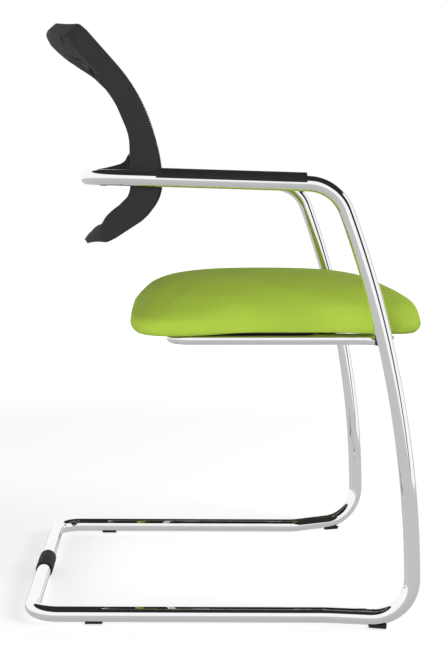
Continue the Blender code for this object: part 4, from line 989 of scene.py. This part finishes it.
def makeNet():
    s = net
    columns, rows = s["columns"], s["rows"]
    half = back["halfWidth"] - s["hem"]
    bm = bmesh.new()
    bmesh.ops.create_grid(bm, x_segments=columns, y_segments=rows, size=0.5)
    onFold = bm.verts.layers.int.new("onFold")
    for vert in bm.verts:
        i, j = round((vert.co.x + 0.5) * columns), round((vert.co.y + 0.5) * rows)
        t = (j - 1) / (rows - 2)
        x = half * (2 * (i - 1) / (columns - 2) - 1)
        fold = 0.0
        if abs(x) > half:
            x, fold = math.copysign(half, x), s["skirt"]
        elif 0 < i - 1 < columns - 2:
            x += s["zigzag"] * half * 2 / columns * (1 if j % 2 else -1)
        if not 0 <= t <= 1:
            t, fold = min(max(t, 0.0), 1.0), s["skirt"]
        vert[onFold] = int(not fold and (i in (1, columns - 1) or j in (1, rows - 1)))
        low, high = bottomEdge(x) + s["hem"], topEdge(x) - s["hem"]
        vert.co = backPoint(x, low + (high - low) * t, fold)
    bmesh.ops.remove_doubles(bm, verts=bm.verts, dist=mergeWithin["grids"])
    bmesh.ops.recalc_face_normals(bm, faces=bm.faces)
    # no thread runs along the fold, so the threads that cross it stand out as teeth
    fold = [edge for edge in bm.edges
            if len(edge.link_faces) == 2 and all(vert[onFold] for vert in edge.verts)]
    bmesh.ops.dissolve_edges(bm, edges=fold, use_verts=False)
    cells = list(bm.faces)
    bmesh.ops.inset_individual(bm, faces=cells, thickness=s["thread"], use_even_offset=True)
    bmesh.ops.delete(bm, geom=cells, context="FACES_ONLY")
    piece = addPiece("back_net", meshFrom("backNet", bm, 35), "mesh", ["back_mesh"])
    thick = piece.modifiers.new("thread thickness", "SOLIDIFY")
    thick.thickness = s["thickness"]
    thick.offset = 0
    applyModifiers(piece)


bracket = {"voxel": 0.0013, "rounding": 8, "softness": 0.5}


def makeBracket():
    # the bracket behind the net as one moulding, with its edges and inner corners rounded off
    bm = bmesh.new()
    bm.from_mesh(bpy.data.objects["back_bracket"].data)
    bmesh.ops.remove_doubles(bm, verts=bm.verts, dist=mergeWithin["copies"])
    piece = addPiece("moulded_bracket", meshFrom("bracket", bm, 180), "grey_black_plastic", ["back_bracket"])
    whole = piece.modifiers.new("one moulding", "REMESH")
    whole.mode = "VOXEL"
    whole.voxel_size = bracket["voxel"]
    whole.use_smooth_shade = True
    soft = piece.modifiers.new("rounding", "SMOOTH")
    soft.factor = bracket["softness"]
    soft.iterations = bracket["rounding"]
    applyModifiers(piece)


makeBackFrame()
makeWebs()
makeSlotShades()
makeNet()
makeBracket()
print("chair: back made")


# the CAD nodes that stay, with their finishes

def finishNodes():
    for row in frame["record"]["subparts"]:
        node = bpy.data.objects.get(row["node"])
        if node is None:
            continue
        for place in node.material_slots:
            place.material = finishes[row["material_slot"]]


finishNodes()


# floor, sky and lamps

studio = {
    "floorHeight": -0.0004, "floorHalf": 9.0,
    "floorColour": 0.70, "floorGlow": 0.62, "farGlow": 1.0, "far": (1.4, 4.0),
    "horizon": 0.62, "zenith": 0.0, "front": 0.04,
    # what gloss sees: heights are the Z of a direction
    "ceiling": 0.60, "ceilingGlow": 0.025,
    "ground": -0.145, "groundGlow": 0.57, "nadirGlow": 0.50,
    "gap": 45.0, "gapHalf": 0.1557, "gapOpening": 0.489,    # a black gap between the white panels
    "edge": 122.0, "edgeHalf": 7.0, "edgeGlow": 0.42,       # a grey one beside the front panel
    "gapBlur": 0.002, "edgeBlur": 3.0, "ceilingBlur": 0.01, "groundBlur": 0.008,
}
lampAim = (0, 0, 0.4)
lamps = {
    "sideLamp": {"place": (-3.8, 2.1, 0.70), "size": (2.6, 0.8), "power": 115.0},
    "farLamp": {"place": (4.2, -0.8, 1.4), "size": (3.0, 2.2), "power": 24.0},
    "frontLamp": {"place": (-0.9, -3.5, 2.5), "size": (2.2, 1.6), "power": 100.0},
}


def makeFloor():
    bm = bmesh.new()
    bmesh.ops.create_grid(bm, x_segments=1, y_segments=1, size=studio["floorHalf"])
    bmesh.ops.translate(bm, verts=bm.verts, vec=(0, 0, studio["floorHeight"]))
    floor = bpy.data.objects.new("floor", meshFrom("floor", bm))
    scene.collection.objects.link(floor)
    material = bpy.data.materials.new("pale floor")
    material.use_nodes = True
    tree = material.node_tree
    nodes, links = tree.nodes, tree.links
    nodes.clear()
    output = nodes.new("ShaderNodeOutputMaterial")
    rays = nodes.new("ShaderNodeLightPath")
    colour = studio["floorColour"]
    plain = nodes.new("ShaderNodeBsdfDiffuse")
    plain.inputs["Color"].default_value = (colour, colour, colour, 1)
    glow = nodes.new("ShaderNodeEmission")
    glow.inputs["Color"].default_value = (1, 1, 1, 1)
    # white further off, where the lamps' light falls away
    away = nodes.new("ShaderNodeVectorMath")
    away.operation = "LENGTH"
    links.new(nodes.new("ShaderNodeTexCoord").outputs["Object"], away.inputs[0])
    fade = rangeNode(tree, away.outputs["Value"], *studio["far"], studio["floorGlow"], studio["farGlow"])
    links.new(fade, glow.inputs["Strength"])
    pale = nodes.new("ShaderNodeAddShader")
    links.new(plain.outputs[0], pale.inputs[0])
    links.new(glow.outputs[0], pale.inputs[1])
    mix = nodes.new("ShaderNodeMixShader")
    links.new(rays.outputs["Is Camera Ray"], mix.inputs["Fac"])
    links.new(plain.outputs[0], mix.inputs[1])
    links.new(pale.outputs[0], mix.inputs[2])
    links.new(mix.outputs[0], output.inputs["Surface"])
    floor.data.materials.append(material)
    floor.visible_glossy = False        # gloss sees the ground of the studio's sky instead


def makeSky():
    s = studio
    # white for the camera, soft light that is strongest at the horizon, and a dark ceiling for gloss
    world = bpy.data.worlds.new("studio")
    scene.world = world
    world.use_nodes = True
    tree = world.node_tree
    nodes, links = tree.nodes, tree.links
    nodes.clear()

    def maths(operation, *values):
        return mathsNode(tree, operation, *values)

    def smooth(value, *limits):
        return rangeNode(tree, value, *limits, steps="SMOOTHSTEP")

    direction = nodes.new("ShaderNodeTexCoord").outputs["Generated"]
    parts = nodes.new("ShaderNodeSeparateXYZ")
    links.new(direction, parts.inputs["Vector"])
    x, y, z = parts.outputs
    level = maths("SQRT", maths("ADD", maths("MULTIPLY", x, x), maths("MULTIPLY", y, y)))

    def facing(degrees):
        # 1 towards this bearing, counted from the camera's side to the front
        azimuth = math.radians(degrees)
        sideways, forward = maths("MULTIPLY", x, -math.cos(azimuth)), maths("MULTIPLY", y, -math.sin(azimuth))
        toward = maths("ADD", sideways, forward)
        return maths("DIVIDE", toward, maths("MAXIMUM", level, 0.001))

    half = maths("MULTIPLY_ADD", z, s["gapOpening"], s["gapHalf"])
    near = maths("MULTIPLY_ADD", maths("MULTIPLY", half, half), -0.5, 1.0)
    gap = smooth(maths("SUBTRACT", facing(s["gap"]), near), -s["gapBlur"], s["gapBlur"])
    sides = [math.cos(math.radians(s["edgeHalf"] + soften)) for soften in (s["edgeBlur"], 0)]
    edge = smooth(facing(s["edge"]), sides[0], sides[1], 1.0, s["edgeGlow"])
    ceiling = smooth(z, s["ceiling"] - s["ceilingBlur"], s["ceiling"] + s["ceilingBlur"])
    dark = maths("MAXIMUM", gap, ceiling)
    panels = maths("MULTIPLY", edge, smooth(dark, 0.0, 1.0, 1.0, s["ceilingGlow"]))
    ground = smooth(z, -1.0, s["ground"], s["nadirGlow"], s["groundGlow"])
    up = smooth(z, s["ground"] - s["groundBlur"], s["ground"] + s["groundBlur"])
    gloss = maths("ADD", maths("MULTIPLY", up, panels), maths("MULTIPLY", maths("SUBTRACT", 1.0, up), ground))
    soft = smooth(z, 0.0, 1.0, s["horizon"], s["zenith"])
    soft = maths("MULTIPLY_ADD", y, -s["front"], soft)

    rays = nodes.new("ShaderNodeLightPath")
    strength = maths("ADD", maths("MULTIPLY", rays.outputs["Is Glossy Ray"], gloss),
                     maths("MULTIPLY", maths("SUBTRACT", 1.0, rays.outputs["Is Glossy Ray"]), soft))
    camera = rays.outputs["Is Camera Ray"]
    strength = maths("ADD", maths("MULTIPLY", strength, maths("SUBTRACT", 1.0, camera)), camera)
    background = nodes.new("ShaderNodeBackground")
    background.inputs["Color"].default_value = (1, 1, 1, 1)
    links.new(strength, background.inputs["Strength"])
    output = nodes.new("ShaderNodeOutputWorld")
    links.new(background.outputs[0], output.inputs["Surface"])


def makeLamps():
    for name, lamp in lamps.items():
        light = bpy.data.lights.new(name, "AREA")
        light.shape = "RECTANGLE"
        light.size, light.size_y = lamp["size"]
        light.energy = lamp["power"]
        holder = bpy.data.objects.new(name, light)
        holder.location = lamp["place"]
        toChair = Vector(lampAim) - holder.location
        holder.rotation_euler = toChair.to_track_quat("-Z", "Y").to_euler()
        holder.visible_glossy = holder.visible_camera = False
        scene.collection.objects.link(holder)


makeFloor()
makeSky()
makeLamps()
print("chair: studio made")
